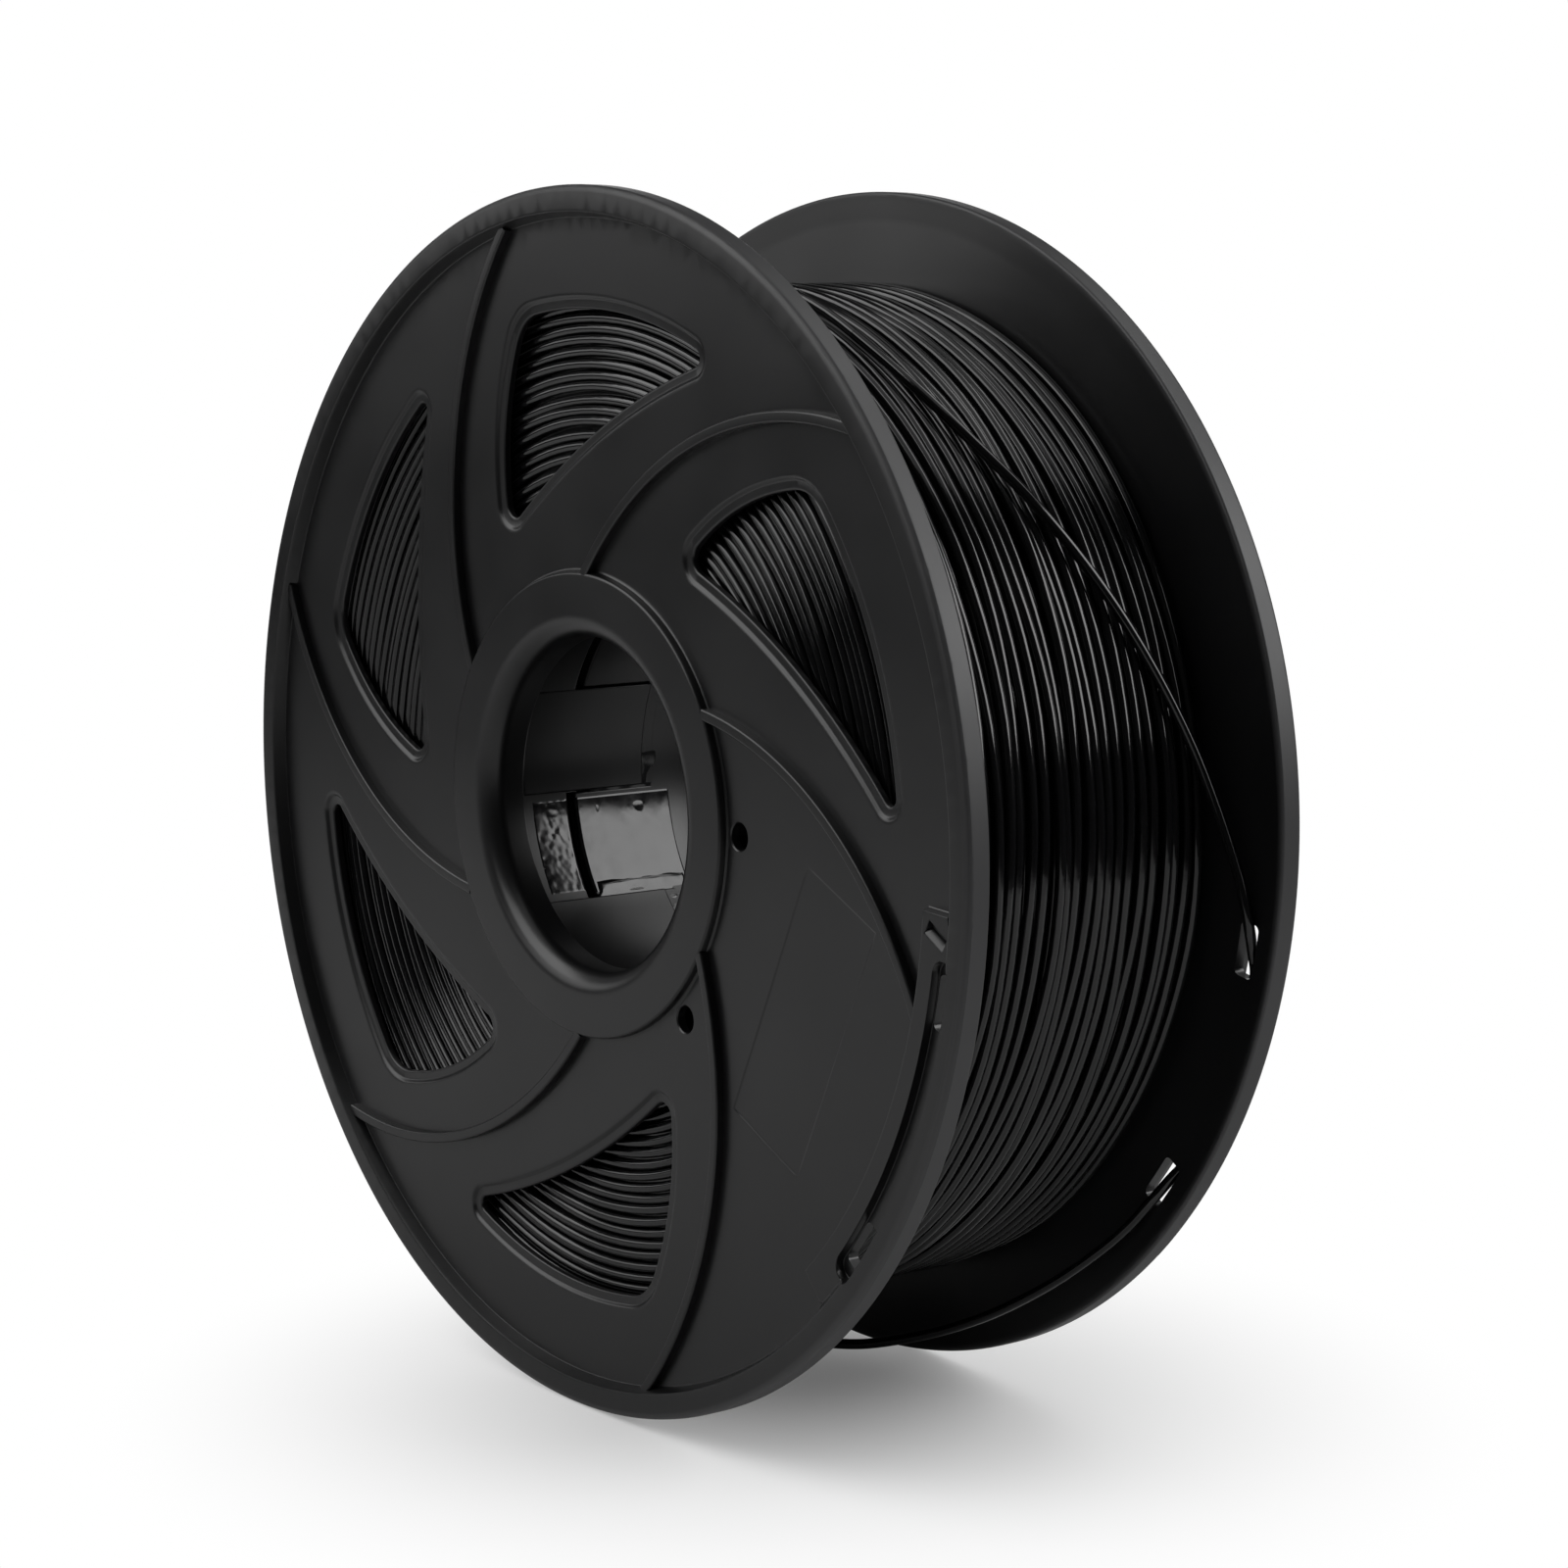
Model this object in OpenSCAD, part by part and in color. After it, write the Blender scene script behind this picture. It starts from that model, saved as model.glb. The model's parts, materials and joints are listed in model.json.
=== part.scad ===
// Filament spool for a 3D printer: two equal half spools whose drum tongues
// interlock, a full winding of filament and the loose tail of that filament,
// which is parked in the two slots of the rear flange.
//
// Frame: millimetres, +Z up, the spool stands on its two rims.
// The origin is the middle of the bore, the bore axis is Y,
// and the front flange faces -Y.
// A half spool is drawn lying down, with its bore on Z and its face up.

/* [Spool] */
// Diameter of both flanges
flange_d = 200; // [196:1:220]
// Width over the two flange rims
spool_w = 67; // [64:1:80]
// Diameter of the bore through both collars
bore_d = 55; // [50:1:58]

/* [Flange] */
// Thickness of a flange at its rim
flange_t = 4.2; // [4:0.1:6]
// Thickness of the panel inside the rim
panel_t = 1.8; // [1.2:0.1:2]
// Radial width of the raised rim
rim_w = 4.8; // [3:0.2:5.4]
// Rounding of the rim's outer front edge
rim_round = 1.2; // [0.4:0.1:2]
// Rounding of the rim's edge on the winding side
rim_back_round = 0.5; // [0.2:0.1:1]
// How far the ribs lie below the rim face, where they meet the rim
rib_drop = 0.9; // [0.6:0.1:1.2]
// How far the dished panel falls from the rim to the hub
dish = 1.5; // [0:0.1:2]

/* [Hub and drum] */
// Outer diameter of the drum, and of the hub ring that it grows from
drum_d = 76.4; // [74:0.2:78]
// Wall of the drum
drum_wall = 1.9; // [1.4:0.1:2.4]
// Thickness of the hub plate around the bore
hub_t = 1.8; // [1.2:0.1:2.4]
// Rounding of the mouth of the bore
lip_round = 3.6; // [1:0.2:4]
// Length of the collar that carries the bore, with its mouth
collar_len = 7.6; // [6:0.2:12]
// Wall of the collar
collar_wall = 1.8; // [1.2:0.1:2.4]
// Tongues on each half spool
tongue_count = 6; // [4:1:8]
// How far a tongue reaches past the middle of the spool
tongue_reach = 7.3; // [4:0.1:12]
// Gap between a tongue's end and the other half's drum root
tongue_end_gap = 1.6; // [0.6:0.1:3]
// Gap between the sides of neighbouring tongues
tongue_side_gap = 0.3; // [0.2:0.05:0.6]
// Angle of the line about which the rear half is turned over
turn_angle = -24.4; // [-30:0.1:-20]

/* [Ribs and windows] */
// Curved ribs and sectors on a flange
sector_count = 6; // [5:1:6]
// Width of a rib
rib_w = 1.8; // [1:0.1:3]
// Angle at which the first rib leaves the hub ring
rib_hub_angle = 88; // [84:0.5:92]
// Angle at which the first rib meets the rim
rib_rim_angle = 41.6; // [38:0.2:46]
// Radius to which a rib is bent
rib_bend_r = 72; // [64:1:90]
// Radius of the windows' outer edge
window_r = 80.4; // [76:0.2:84]
// Radius of the windows' inner corner
window_inner_r = 49.3; // [46:0.1:56]
// Angle of a window's leading corner on the outer edge
window_lead = 4.4; // [2:0.1:10]
// Angle of a window's trailing corner on the outer edge
window_trail = 42; // [36:0.1:44]
// Angle of a window's inner corner
window_tip = 56.7; // [50:0.1:58]
// How far a window's long side bows into the window
window_bow_in = 3.6; // [1:0.1:5]
// How far a window's short side bows out of the window
window_bow_out = 3.2; // [1:0.1:5]
// How much of both its sides a window's round corner takes
window_corner = 3.8; // [2:0.2:5]
// Width of the sunken ledge around a window
ledge_w = 1.8; // [0.6:0.1:2]
// Depth of the ledge below the panel
ledge_depth = 0.5; // [0.2:0.05:0.8]

/* [Filament parking] */
// Angle of the mirror line of the features in the blank sector
park_angle = -24.8; // [-30:0.2:-20]
// Width of the groove that holds the filament's end, and of its two slots
park_w = 4.3; // [3.4:0.1:4.6]
// How far the groove reaches into the rim
park_bite = 1.2; // [0.4:0.1:1.6]
// Angle from the mirror line to the groove's end
groove_angle = 17.4; // [16.4:0.1:18.4]
// Angle from the mirror line to the middle of a slot
slot_angle = 13.4; // [12:0.1:13.6]
// Angle that a slot spans
slot_span = 5.4; // [5:0.1:6]
// Width of the raised pad beside the groove
pad_w = 3.4; // [2:0.1:5]
// Angle from the mirror line to the pad's end
pad_angle = 21.6; // [19.4:0.2:22]
// Length of the short notch at the pad's upper end
notch_l = 4.6; // [3:0.2:5]
// Width of the notch
notch_w = 2.2; // [1:0.1:2.4]
// Diameter of the two small holes beside the hub
peg_hole_d = 4.4; // [3:0.1:6]
// Radius on which the small holes lie
peg_hole_r = 41.4; // [41:0.1:46]
// Angle from the mirror line to a small hole
peg_hole_angle = 24.3; // [20:0.1:28]
// Length of the label field
label_l = 44.5; // [20:0.5:50]
// Width of the label field
label_w = 18.4; // [10:0.2:22]
// Radius of the label field's middle
label_r = 64; // [60:0.5:68]
// Depth of the label field
label_depth = 0.2; // [0.1:0.05:0.4]

/* [Filament] */
// Diameter of the filament
filament_d = 1.75; // [1.6:0.05:1.8]
// Radius of the winding over its outer turns
winding_r = 85; // [80:0.5:86]
// Turns of the outer layer
turns = 22.5; // [18:0.5:22.5]
// Gap between the winding and the spool
winding_gap = 0.3; // [0.1:0.05:0.6]

/* [Hidden] */

// Heights over the middle plane of the spool, on a half that lies face up
face_z = spool_w / 2;
back_z = face_z - flange_t;
panel_z = back_z + panel_t;
rib_z = face_z - rib_drop;
hub_z = rib_z - dish;
collar_z = hub_z - collar_len;
root_z = tongue_reach + tongue_end_gap;

// Radii
flange_r = flange_d / 2;
rim_r = flange_r - rim_w;
drum_r = drum_d / 2;
drum_inner_r = drum_r - drum_wall;
bore_r = bore_d / 2;
park_r = rim_r + park_bite - park_w / 2;
// How far the dished panel has fallen at radius r
function sunk(r) = dish * (rim_r - r) / (rim_r - drum_r);

// Overlap that makes two volumes of one moulding join
weld = 0.2;
// Depth by which a cut runs past a face
cut = 1;
// Facets of a full circle and of a quarter round
round_fn = 96;
quarter_steps = 6;

sector = 360 / sector_count;
tongue_pitch = 360 / tongue_count;
// The turned half's tongues fill the gaps of the other half for this angle only
tongue_angle = turn_angle + 1.25 * tongue_pitch;

// ---------------------------------------------------------------- functions

function polar(r, a) = [r * cos(a), r * sin(a)];
function unit(v) = v / norm(v);

// Quarter round about c, from angle a to angle b
function arc(c, r, a, b, n = quarter_steps) =
    [for (i = [0:n]) c + polar(r, a + (b - a) * i / n)];

// Point at share t of the bowed side from p to q; bow > 0 bends it to the left
function bowed(p, q, bow, t) =
    let (d = q - p, l = norm(d), side = [-d[1], d[0]] / l)
    p + d * t + side * bow * 4 * t * (1 - t);

// Round corner from a over b to c, as far from b as a is, without a itself
function corner(a, b, c, n = quarter_steps) =
    let (w = norm(c - a) / norm(b - a))
    [for (i = [1:n]) let (t = i / n, s = 1 - t)
        (a * s * s + b * w * s * t + c * t * t) / (s * s + w * s * t + t * t)];

// Closed outline moved outwards by d
function grown(outline, d) =
    let (n = len(outline))
    [for (i = [0:n - 1]) let (s = unit(outline[(i + 1) % n] - outline[(i + n - 1) % n]))
        outline[i] + [s[1], -s[0]] * d];

// Outline of a window, in the sector from angle 0
window_a = polar(window_r, window_lead);
window_b = polar(window_r, window_trail);
window_c = polar(window_inner_r, window_tip);
// Shares of the sides, and an angle of the outer edge, that the corners take
long_cut = window_corner / norm(window_a - window_c);
short_cut = window_corner / norm(window_b - window_c);
edge_cut = window_corner / window_r * 180 / PI;
window_outline = concat(
    [for (i = [1:16]) polar(window_r, window_lead + edge_cut
                            + (window_trail - window_lead - 2 * edge_cut) * i / 16)],
    corner(polar(window_r, window_trail - edge_cut), window_b,
           bowed(window_b, window_c, -window_bow_out, short_cut)),
    [for (i = [1:6]) bowed(window_b, window_c, -window_bow_out,
                           short_cut + (1 - 2 * short_cut) * i / 7)],
    corner(bowed(window_b, window_c, -window_bow_out, 1 - short_cut), window_c,
           bowed(window_c, window_a, window_bow_in, long_cut)),
    [for (i = [1:12]) bowed(window_c, window_a, window_bow_in,
                            long_cut + (1 - 2 * long_cut) * i / 13)],
    corner(bowed(window_c, window_a, window_bow_in, 1 - long_cut), window_a,
           polar(window_r, window_lead + edge_cut)));

// A rib is an arc from the hub ring to the rim; this is the middle of the first
rib_a = polar(drum_r, rib_hub_angle);
rib_b = polar(rim_r, rib_rim_angle);
rib_centre = let (d = rib_b - rib_a, side = [d[1], -d[0]] / norm(d))
    (rib_a + rib_b) / 2 + side * sqrt(pow(rib_bend_r, 2) - pow(norm(d) / 2, 2));
function bearing(p) = atan2(p[1], p[0]);

// Outline of a curved slot between the angles a and b, with corners of radius c
function slot_outline(a, b, c) =
    let (r0 = park_r - park_w / 2, r1 = park_r + park_w / 2, n = 12,
         i = c / (r0 + c) * 180 / PI, o = c / (r1 - c) * 180 / PI)
    concat(arc([0, 0], r1, a + o, b - o, n), arc(polar(r1 - c, b - o), c, b - o + 10, b - o + 90),
           arc(polar(r0 + c, b - i), c, b - i + 90, b - i + 170),
           arc([0, 0], r0, b - i, a + i, n), arc(polar(r0 + c, a + i), c, a + i + 190, a + i + 270),
           arc(polar(r1 - c, a + o), c, a + o + 270, a + o + 350));

// Sweep of a round tube along points, with its rings square to the path
function heading(path, i) =
    unit(path[min(i + 1, len(path) - 1)] - path[max(i - 1, 0)]);
function ring(path, i, r, sides) =
    let (t = heading(path, i), u = unit(cross(t, [0, 1, 0])), w = cross(u, t))
    [for (k = [0:sides - 1]) let (a = 360 * (k + 0.5) / sides)
        path[i] + u * r * cos(a) + w * r * sin(a)];

// Point of the spool's own polar frame: angle from +X towards +Z, radius, Y
function on_spool(a, r, y) = [r * cos(a), y, r * sin(a)];

// Share of a smooth climb, from 0 to 1
function smooth(t) = let (u = min(max(t, 0), 1)) u * u * (3 - 2 * u);

// ------------------------------------------------------------ filament lines

// A loop has this many rings, so its chords sink below the true circle
loop_rings = 24;
turn_sides = 6;
tail_sides = 8;
turn_step = 360 / loop_rings;
chord_sink = winding_r * (1 - cos(turn_step / 2));
filament_r = filament_d / 2;
turn_r = winding_r - filament_r;
// Clearance between the turns and the core below them, or the flange beside them
turn_clear = 0.1;
core_r = turn_r - filament_r - chord_sink - turn_clear;
// The last stretch of the winding lies on the outer layer, this far above it
over_gap = 0.65;
over_r = turn_r + filament_d + over_gap;
// Place of the middle of the outermost turns
turn_y = back_z - sunk(winding_r) - winding_gap - filament_r - turn_clear;
// Angles, falling along the filament: where the tail takes over, where the
// outer layer ends and starts
tail_start = 62;
tail_start_y = -6.4;
return_span = 270;
climb_span = 30;
layer_end = tail_start + return_span;
layer_start = layer_end + 360 * turns;
// The first end of the layer comes straight up out of the core and bends over
rise_r = 1.6;
settle_span = 2 * turn_step;
function settle(a) = smooth((layer_start - a) / settle_span);
function layer_r(a) = turn_r + (core_r + filament_d + rise_r - turn_r) * (1 - settle(a));
function layer_y(a) = turn_y - 2 * turn_y * (layer_start - a) / (layer_start - layer_end);
function return_r(a) = turn_r + (over_r - turn_r) * smooth((layer_end - a) / climb_span);
function return_y(a) = -turn_y + (tail_start_y + turn_y)
    * smooth((layer_end - climb_span - a) / (return_span - climb_span));
function arc_angle(l) = l / turn_r * 180 / PI;

outer_turns_path = concat(
    [on_spool(layer_start + arc_angle(rise_r), core_r, turn_y),
     on_spool(layer_start + arc_angle(rise_r), core_r + filament_d, turn_y),
     on_spool(layer_start + arc_angle(rise_r * sin(45)), core_r + filament_d + rise_r * sin(45),
              turn_y)],
    [for (i = [0:loop_rings * turns]) let (a = layer_start - i * turn_step)
        on_spool(a, layer_r(a), layer_y(a))],
    [for (i = [1:return_span / turn_step]) let (a = layer_end - i * turn_step)
        on_spool(a, return_r(a), return_y(a))]);

// Route of the tail: angle, radius and Y. It lies on the turns, leaves them
// for the first slot, runs along the groove on the outside of the rear flange,
// comes back in through the second slot and springs along inside the rim.
tail_route = [
    [tail_start, over_r, tail_start_y], [56, 86.5, -5.4], [50, 86.5, -3.4], [44, 86.5, -0.4],
    [37, 86.5, 4.6], [30, 86.5, 9.6], [23, 86.5, 14.6], [16, 86.5, 19.5], [9, 87.2, 23.7],
    [3, 89, 26.1], [-2, 91.6, 27.3], [-4.8, 93.4, 27.7], [-8, 94.9, 28.3],
    [-10.6, 94.7, 30.1], [-13.3, 94.4, 32], [-17, 94.1, 32.3], [-24, 94, 32.3],
    [-31, 94.1, 32.3], [-34.6, 94.4, 32], [-37.3, 94.6, 30.1], [-39.9, 95.1, 28.3],
    [-43.4, 95.1, 27.6], [-48, 94.8, 26.7], [-55, 94.6, 25], [-63, 94.8, 23],
    [-70, 95.3, 21.4], [-76, 96, 19], [-82, 96.6, 15], [-90, 96.6, 11], [-98, 96, 7],
    [-105, 95, 4]];
tail_points = [for (p = tail_route) on_spool(p[0], p[1], p[2])];

// Smooth line through points, with n steps from each point to the next
function spline_point(a, b, c, d, t) =
    (b * 2 + (c - a) * t + (a * 2 - b * 5 + c * 4 - d) * t * t
     + (b * 3 - a - c * 3 + d) * t * t * t) / 2;
function spline(pts, n) = concat(
    [for (i = [0:len(pts) - 2], k = [0:n - 1])
        spline_point(i == 0 ? pts[0] * 2 - pts[1] : pts[i - 1], pts[i], pts[i + 1],
                     i + 2 < len(pts) ? pts[i + 2] : pts[i + 1] * 2 - pts[i], k / n)],
    [pts[len(pts) - 1]]);
tail_path = spline(tail_points, 2);

// Least gap of the wound tube to itself, between rings over a third of a loop apart
skip = loop_rings / 3;
turn_gap = min([for (i = [0:len(outer_turns_path) - 1], j = [i + skip:len(outer_turns_path) - 1])
    norm(outer_turns_path[i] - outer_turns_path[j])]) - filament_d;
function length(path, i = 0, sum = 0) =
    i == len(path) - 1 ? sum : length(path, i + 1, sum + norm(path[i + 1] - path[i]));

// ------------------------------------------------------------------ modules

// Stretch of a ring of rectangular section, from angle a to angle b
module ring_sector(r0, r1, z0, z1, a, b) {
    rotate([0, 0, a])
        rotate_extrude(angle = b - a, $fn = round_fn)
            translate([r0, z0]) square([r1 - r0, z1 - z0]);
}

// Ring between hub and rim, with both faces dished like the panel
module dished_ring(z0, z1) {
    r0 = drum_r - weld;
    r1 = rim_r + weld;
    rotate_extrude($fn = round_fn)
        polygon([[r0, z0 - sunk(r0)], [r1, z0 - sunk(r1)], [r1, z1 - sunk(r1)],
                 [r0, z1 - sunk(r0)]]);
}

// Everything of a half spool that is turned: rim, panel, hub ring, collar and drum
module turned_body() {
    edge = 0.5;
    rotate_extrude($fn = round_fn)
        polygon(concat(
            [[drum_inner_r, -tongue_reach], [drum_r, -tongue_reach],
             [drum_r, back_z - dish], [rim_r, back_z]],
            arc([flange_r - rim_back_round, back_z + rim_back_round], rim_back_round, -90, 0, 3),
            arc([flange_r - rim_round, face_z - rim_round], rim_round, 0, 90),
            [[rim_r + edge, face_z], [rim_r, face_z - edge], [rim_r, panel_z],
             [drum_r, panel_z - dish], [drum_r, hub_z - edge], [drum_r - edge, hub_z]],
            arc([bore_r + lip_round, hub_z - lip_round], lip_round, 90, 180),
            [[bore_r, collar_z], [bore_r + collar_wall, collar_z],
             [bore_r + collar_wall, hub_z - hub_t], [drum_inner_r, hub_z - hub_t]]));
}

// What is cut from the drum to leave the tongues
module tongue_gaps() {
    side = tongue_side_gap / 2 / drum_r * 180 / PI;
    span = tongue_pitch / 2;
    for (i = [0:tongue_count - 1])
        ring_sector(drum_inner_r - cut, drum_r + cut, -tongue_reach - cut, root_z,
                    tongue_angle + i * tongue_pitch + span / 2 - side,
                    tongue_angle + i * tongue_pitch + span * 1.5 + side);
}

// Ribs, and the pad beside the parking groove, before they are cut to height
module ribs_and_pad() {
    end = 1;
    for (i = [0:sector_count - 1])
        rotate([0, 0, i * sector]) translate(rib_centre)
            ring_sector(rib_bend_r - rib_w / 2, rib_bend_r + rib_w / 2, 0, face_z,
                        bearing(rib_b - rib_centre) - end, bearing(rib_a - rib_centre) + end);
    ring_sector(park_r - park_w / 2 - pad_w, flange_r, 0, face_z,
                park_angle - pad_angle, park_angle + pad_angle);
}

// One window outline in every sector but the blank one, from height z0 to z1
module in_windowed_sectors(outline, z0, z1) {
    for (i = [0:sector_count - 2])
        rotate([0, 0, i * sector]) translate([0, 0, z0])
            linear_extrude(z1 - z0) polygon(outline);
}

// Windows, each with a sunken ledge around it that follows the dish of the panel
module windows() {
    in_windowed_sectors(window_outline, back_z - dish - cut, panel_z + cut);
    intersection() {
        in_windowed_sectors(grown(window_outline, ledge_w), back_z - dish, rib_z);
        dished_ring(panel_z - ledge_depth, rib_z);
    }
}

module half_spool() {
    skim = 0.1;
    slot_round = 1;
    notch_depth = 1;
    // The notch lies in line with the inner wall of the groove, between its end and the pad's
    notch_r = park_r - park_w / 2;
    notch_angle = park_angle + (groove_angle + pad_angle) / 2;
    notch_turn = -24;
    difference() {
        union() {
            turned_body();
            intersection() {
                ribs_and_pad();
                dished_ring(panel_z - weld, rib_z);
            }
        }
        tongue_gaps();
        windows();
        // groove for the filament's end, and a slot through the panel at each end
        translate([0, 0, panel_z - skim]) linear_extrude(flange_t)
            polygon(slot_outline(park_angle - groove_angle, park_angle + groove_angle,
                                 park_w / 2 - skim));
        for (s = [-1, 1])
            translate([0, 0, back_z - cut]) linear_extrude(panel_t + cut)
                polygon(slot_outline(park_angle + s * slot_angle - slot_span / 2,
                                     park_angle + s * slot_angle + slot_span / 2, slot_round));
        rotate([0, 0, notch_angle]) translate([notch_r, 0, rib_z - notch_depth])
            rotate([0, 0, notch_turn]) translate([-notch_l / 2, -notch_w / 2, 0])
                cube([notch_l, notch_w, flange_t]);
        for (s = [-1, 1])
            rotate([0, 0, park_angle + s * peg_hole_angle])
                translate([peg_hole_r, 0, back_z - dish - cut])
                    cylinder(d = peg_hole_d, h = flange_t + cut, $fn = 48);
        // label field
        intersection() {
            rotate([0, 0, park_angle]) translate([label_r - label_w / 2, -label_l / 2, 0])
                cube([label_w, label_l, face_z]);
            dished_ring(panel_z - label_depth, rib_z);
        }
    }
}

module front_half_spool() {
    color("#1b1b1d") rotate([90, 0, 0]) half_spool();
}

// The rear half is the same moulding, turned over
module rear_half_spool() {
    color("#1b1b1d") rotate([90, 0, 0])
        rotate(a = 180, v = [cos(turn_angle), sin(turn_angle), 0]) half_spool();
}

// Everything below the outer turns. Its flat sides widen at the edge, under
// the outermost turns, which lie closer to the dished flanges
module filament_core() {
    edge = 1.5;
    r0 = drum_r + winding_gap;
    r1 = core_r - edge;
    w0 = back_z - dish - winding_gap;
    w1 = back_z - sunk(core_r) - winding_gap;
    color("#0d0d0f") rotate([90, 0, 0]) rotate_extrude($fn = round_fn)
        polygon([[r0, -w0], [r1, -w0], [core_r, -w1], [core_r, w1], [r1, w0], [r0, w0]]);
}

module tube(path, sides) {
    last = len(path) - 1;
    polyhedron(
        points = [for (i = [0:last]) each ring(path, i, filament_r, sides)],
        faces = concat(
            [[for (k = [sides - 1:-1:0]) k]],
            [for (i = [0:last - 1], k = [0:sides - 1]) let (n = (k + 1) % sides)
                each [[i * sides + k, i * sides + n, (i + 1) * sides + n],
                      [i * sides + k, (i + 1) * sides + n, (i + 1) * sides + k]]],
            [[for (k = [0:sides - 1]) last * sides + k]]));
}

module filament_outer_turns() {
    echo(least_gap_of_the_turns_mm = turn_gap);
    color("#111113") tube(outer_turns_path, turn_sides);
}

module filament_tail() {
    echo(length_of_the_tail_mm = length(tail_path));
    color("#111113") tube(tail_path, tail_sides);
}

front_half_spool();
rear_half_spool();
filament_core();
filament_outer_turns();
filament_tail();
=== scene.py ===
# %% [markdown]
# A full spool of filament for a 3D printer, dressed for a studio picture.
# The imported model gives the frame: where the bore, the two flanges and the
# winding are. This script adds what a CAD model leaves out: rounded edges,
# moulded plastic, and a winding made of one uneven strand. A half spool is
# drawn lying face up in millimetres, as the mould makes it, and then turned.

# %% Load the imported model
import json
import math

import bpy
import numpy as np
from mathutils import Matrix, Vector
from mathutils.geometry import delaunay_2d_cdt
from mathutils.noise import noise as noise_at


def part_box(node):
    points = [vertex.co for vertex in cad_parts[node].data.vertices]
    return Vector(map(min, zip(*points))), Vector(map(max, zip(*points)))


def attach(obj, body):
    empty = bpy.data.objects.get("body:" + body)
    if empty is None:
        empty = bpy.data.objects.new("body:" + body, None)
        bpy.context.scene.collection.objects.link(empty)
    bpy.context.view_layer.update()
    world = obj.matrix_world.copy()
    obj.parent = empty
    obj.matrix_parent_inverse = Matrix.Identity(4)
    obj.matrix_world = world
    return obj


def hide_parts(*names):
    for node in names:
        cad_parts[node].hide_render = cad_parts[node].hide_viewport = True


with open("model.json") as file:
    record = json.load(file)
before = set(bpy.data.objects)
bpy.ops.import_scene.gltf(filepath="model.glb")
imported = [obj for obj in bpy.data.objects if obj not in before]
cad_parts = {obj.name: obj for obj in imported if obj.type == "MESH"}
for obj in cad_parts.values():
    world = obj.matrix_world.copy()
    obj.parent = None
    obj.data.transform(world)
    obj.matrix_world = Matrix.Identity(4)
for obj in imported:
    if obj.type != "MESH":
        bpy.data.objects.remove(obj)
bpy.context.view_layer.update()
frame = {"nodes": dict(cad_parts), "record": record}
MM = 0.001
print("nodes:", sorted(frame["nodes"]))


def new_object(name, data):
    thing = bpy.data.objects.new(name, data)
    bpy.context.scene.collection.objects.link(thing)
    return thing


# %% [markdown]
# The camera comes first, because everything else is judged through it. A
# spool is best seen from the side and a little above: the front flange shows
# its windows, and the winding shows between the flanges. A long lens keeps the
# two rims nearly equal in size.

# %% Camera
CAMERA_AZIMUTH, CAMERA_ELEVATION = 52.235, 7.631
CAMERA_DISTANCE = 587.8 * MM
CAMERA_TARGET = Vector((14.4, 0, 2.6)) * MM
LENS, SENSOR = 81.75, 36


def direction(azimuth, elevation):
    """Unit vector that far round the front of the spool and that far up, in degrees."""
    a, e = math.radians(azimuth), math.radians(elevation)
    return Vector((math.sin(a) * math.cos(e), -math.cos(a) * math.cos(e), math.sin(e)))


camera_data = bpy.data.cameras.new("camera")
camera_data.lens, camera_data.sensor_width = LENS, SENSOR
camera_data.clip_start, camera_data.clip_end = 0.01, 20
camera = new_object("camera", camera_data)
back = direction(CAMERA_AZIMUTH, CAMERA_ELEVATION)
camera.location = CAMERA_TARGET + back * CAMERA_DISTANCE
camera.rotation_mode = "QUATERNION"
camera.rotation_quaternion = (-back).to_track_quat("-Z", "Y")
bpy.context.scene.camera = camera
print("camera at", [round(c, 3) for c in camera.location])

# %% [markdown]
# A few small tools serve every cell below. One turns the sRGB hex value that a
# paint chart gives into the linear numbers that a shader wants. The others add
# a node to a tree, set it up and link it, for materials and Geometry Nodes
# alike, so that a tree reads from top to bottom like a recipe.

# %% Colour and node helpers


def linear(hex_colour):
    srgb = [int(hex_colour[i:i + 2], 16) / 255 for i in (1, 3, 5)]
    return [c / 12.92 if c <= 0.04045 else ((c + 0.055) / 1.055) ** 2.4 for c in srgb] + [1]


def add(tree, kind, inputs=None, **settings):
    node = tree.nodes.new(kind)
    for key, value in settings.items():
        setattr(node, key, value)
    for socket, value in (inputs or {}).items():
        if isinstance(value, bpy.types.NodeSocket):
            tree.links.new(value, node.inputs[socket])
        else:
            node.inputs[socket].default_value = value
    return node


def output(tree, kind, inputs=None, **settings):
    return add(tree, kind, inputs, **settings).outputs[0]


def maths(tree, operation, a, b=0.0, c=0.0):
    return output(tree, "ShaderNodeMath", {0: a, 1: b, 2: c}, operation=operation)


# %% [markdown]
# The spool is injection moulded from a black styrene plastic, such as ABS or
# high impact polystyrene. The mould is smooth but not polished, so the faces
# are satin and the edges glint. A slow change of roughness stands for the flow
# marks of the moulding, and a faint unevenness of some millimetres for the pull
# of the cooling plastic. The rolling edge of each rim is rougher, because it
# rubs on holders and shelves. It is also painted a lighter grey there, a painted
# sheen that stands for the light the rolling edge catches.

# %% Moulded spool plastic
PLASTIC_IOR = 1.5
# The rim's gloss goes over to the rough edge with its painted sheen between these distances from the
# axis
GLOSSY_R, SCUFFED_SHEEN_R = 98.6, 99.4


def empty_material(name):
    material = bpy.data.materials.new(name)
    material.use_nodes = True
    material.node_tree.nodes.clear()
    return material, material.node_tree


def start_plastic(name):
    material, tree = empty_material(name)
    return material, tree, add(tree, "ShaderNodeTexCoord").outputs["Object"]


def end_plastic(tree, inputs):
    shader = add(tree, "ShaderNodeBsdfPrincipled", {"IOR": PLASTIC_IOR, **inputs})
    add(tree, "ShaderNodeOutputMaterial", {"Surface": shader.outputs[0]})


def noise(tree, where, size, detail=2.0):
    """Noise whose lumps are about size metres across."""
    return add(tree, "ShaderNodeTexNoise", {
        "Vector": where, "Scale": 1 / size, "Detail": detail}).outputs["Fac"]


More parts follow.
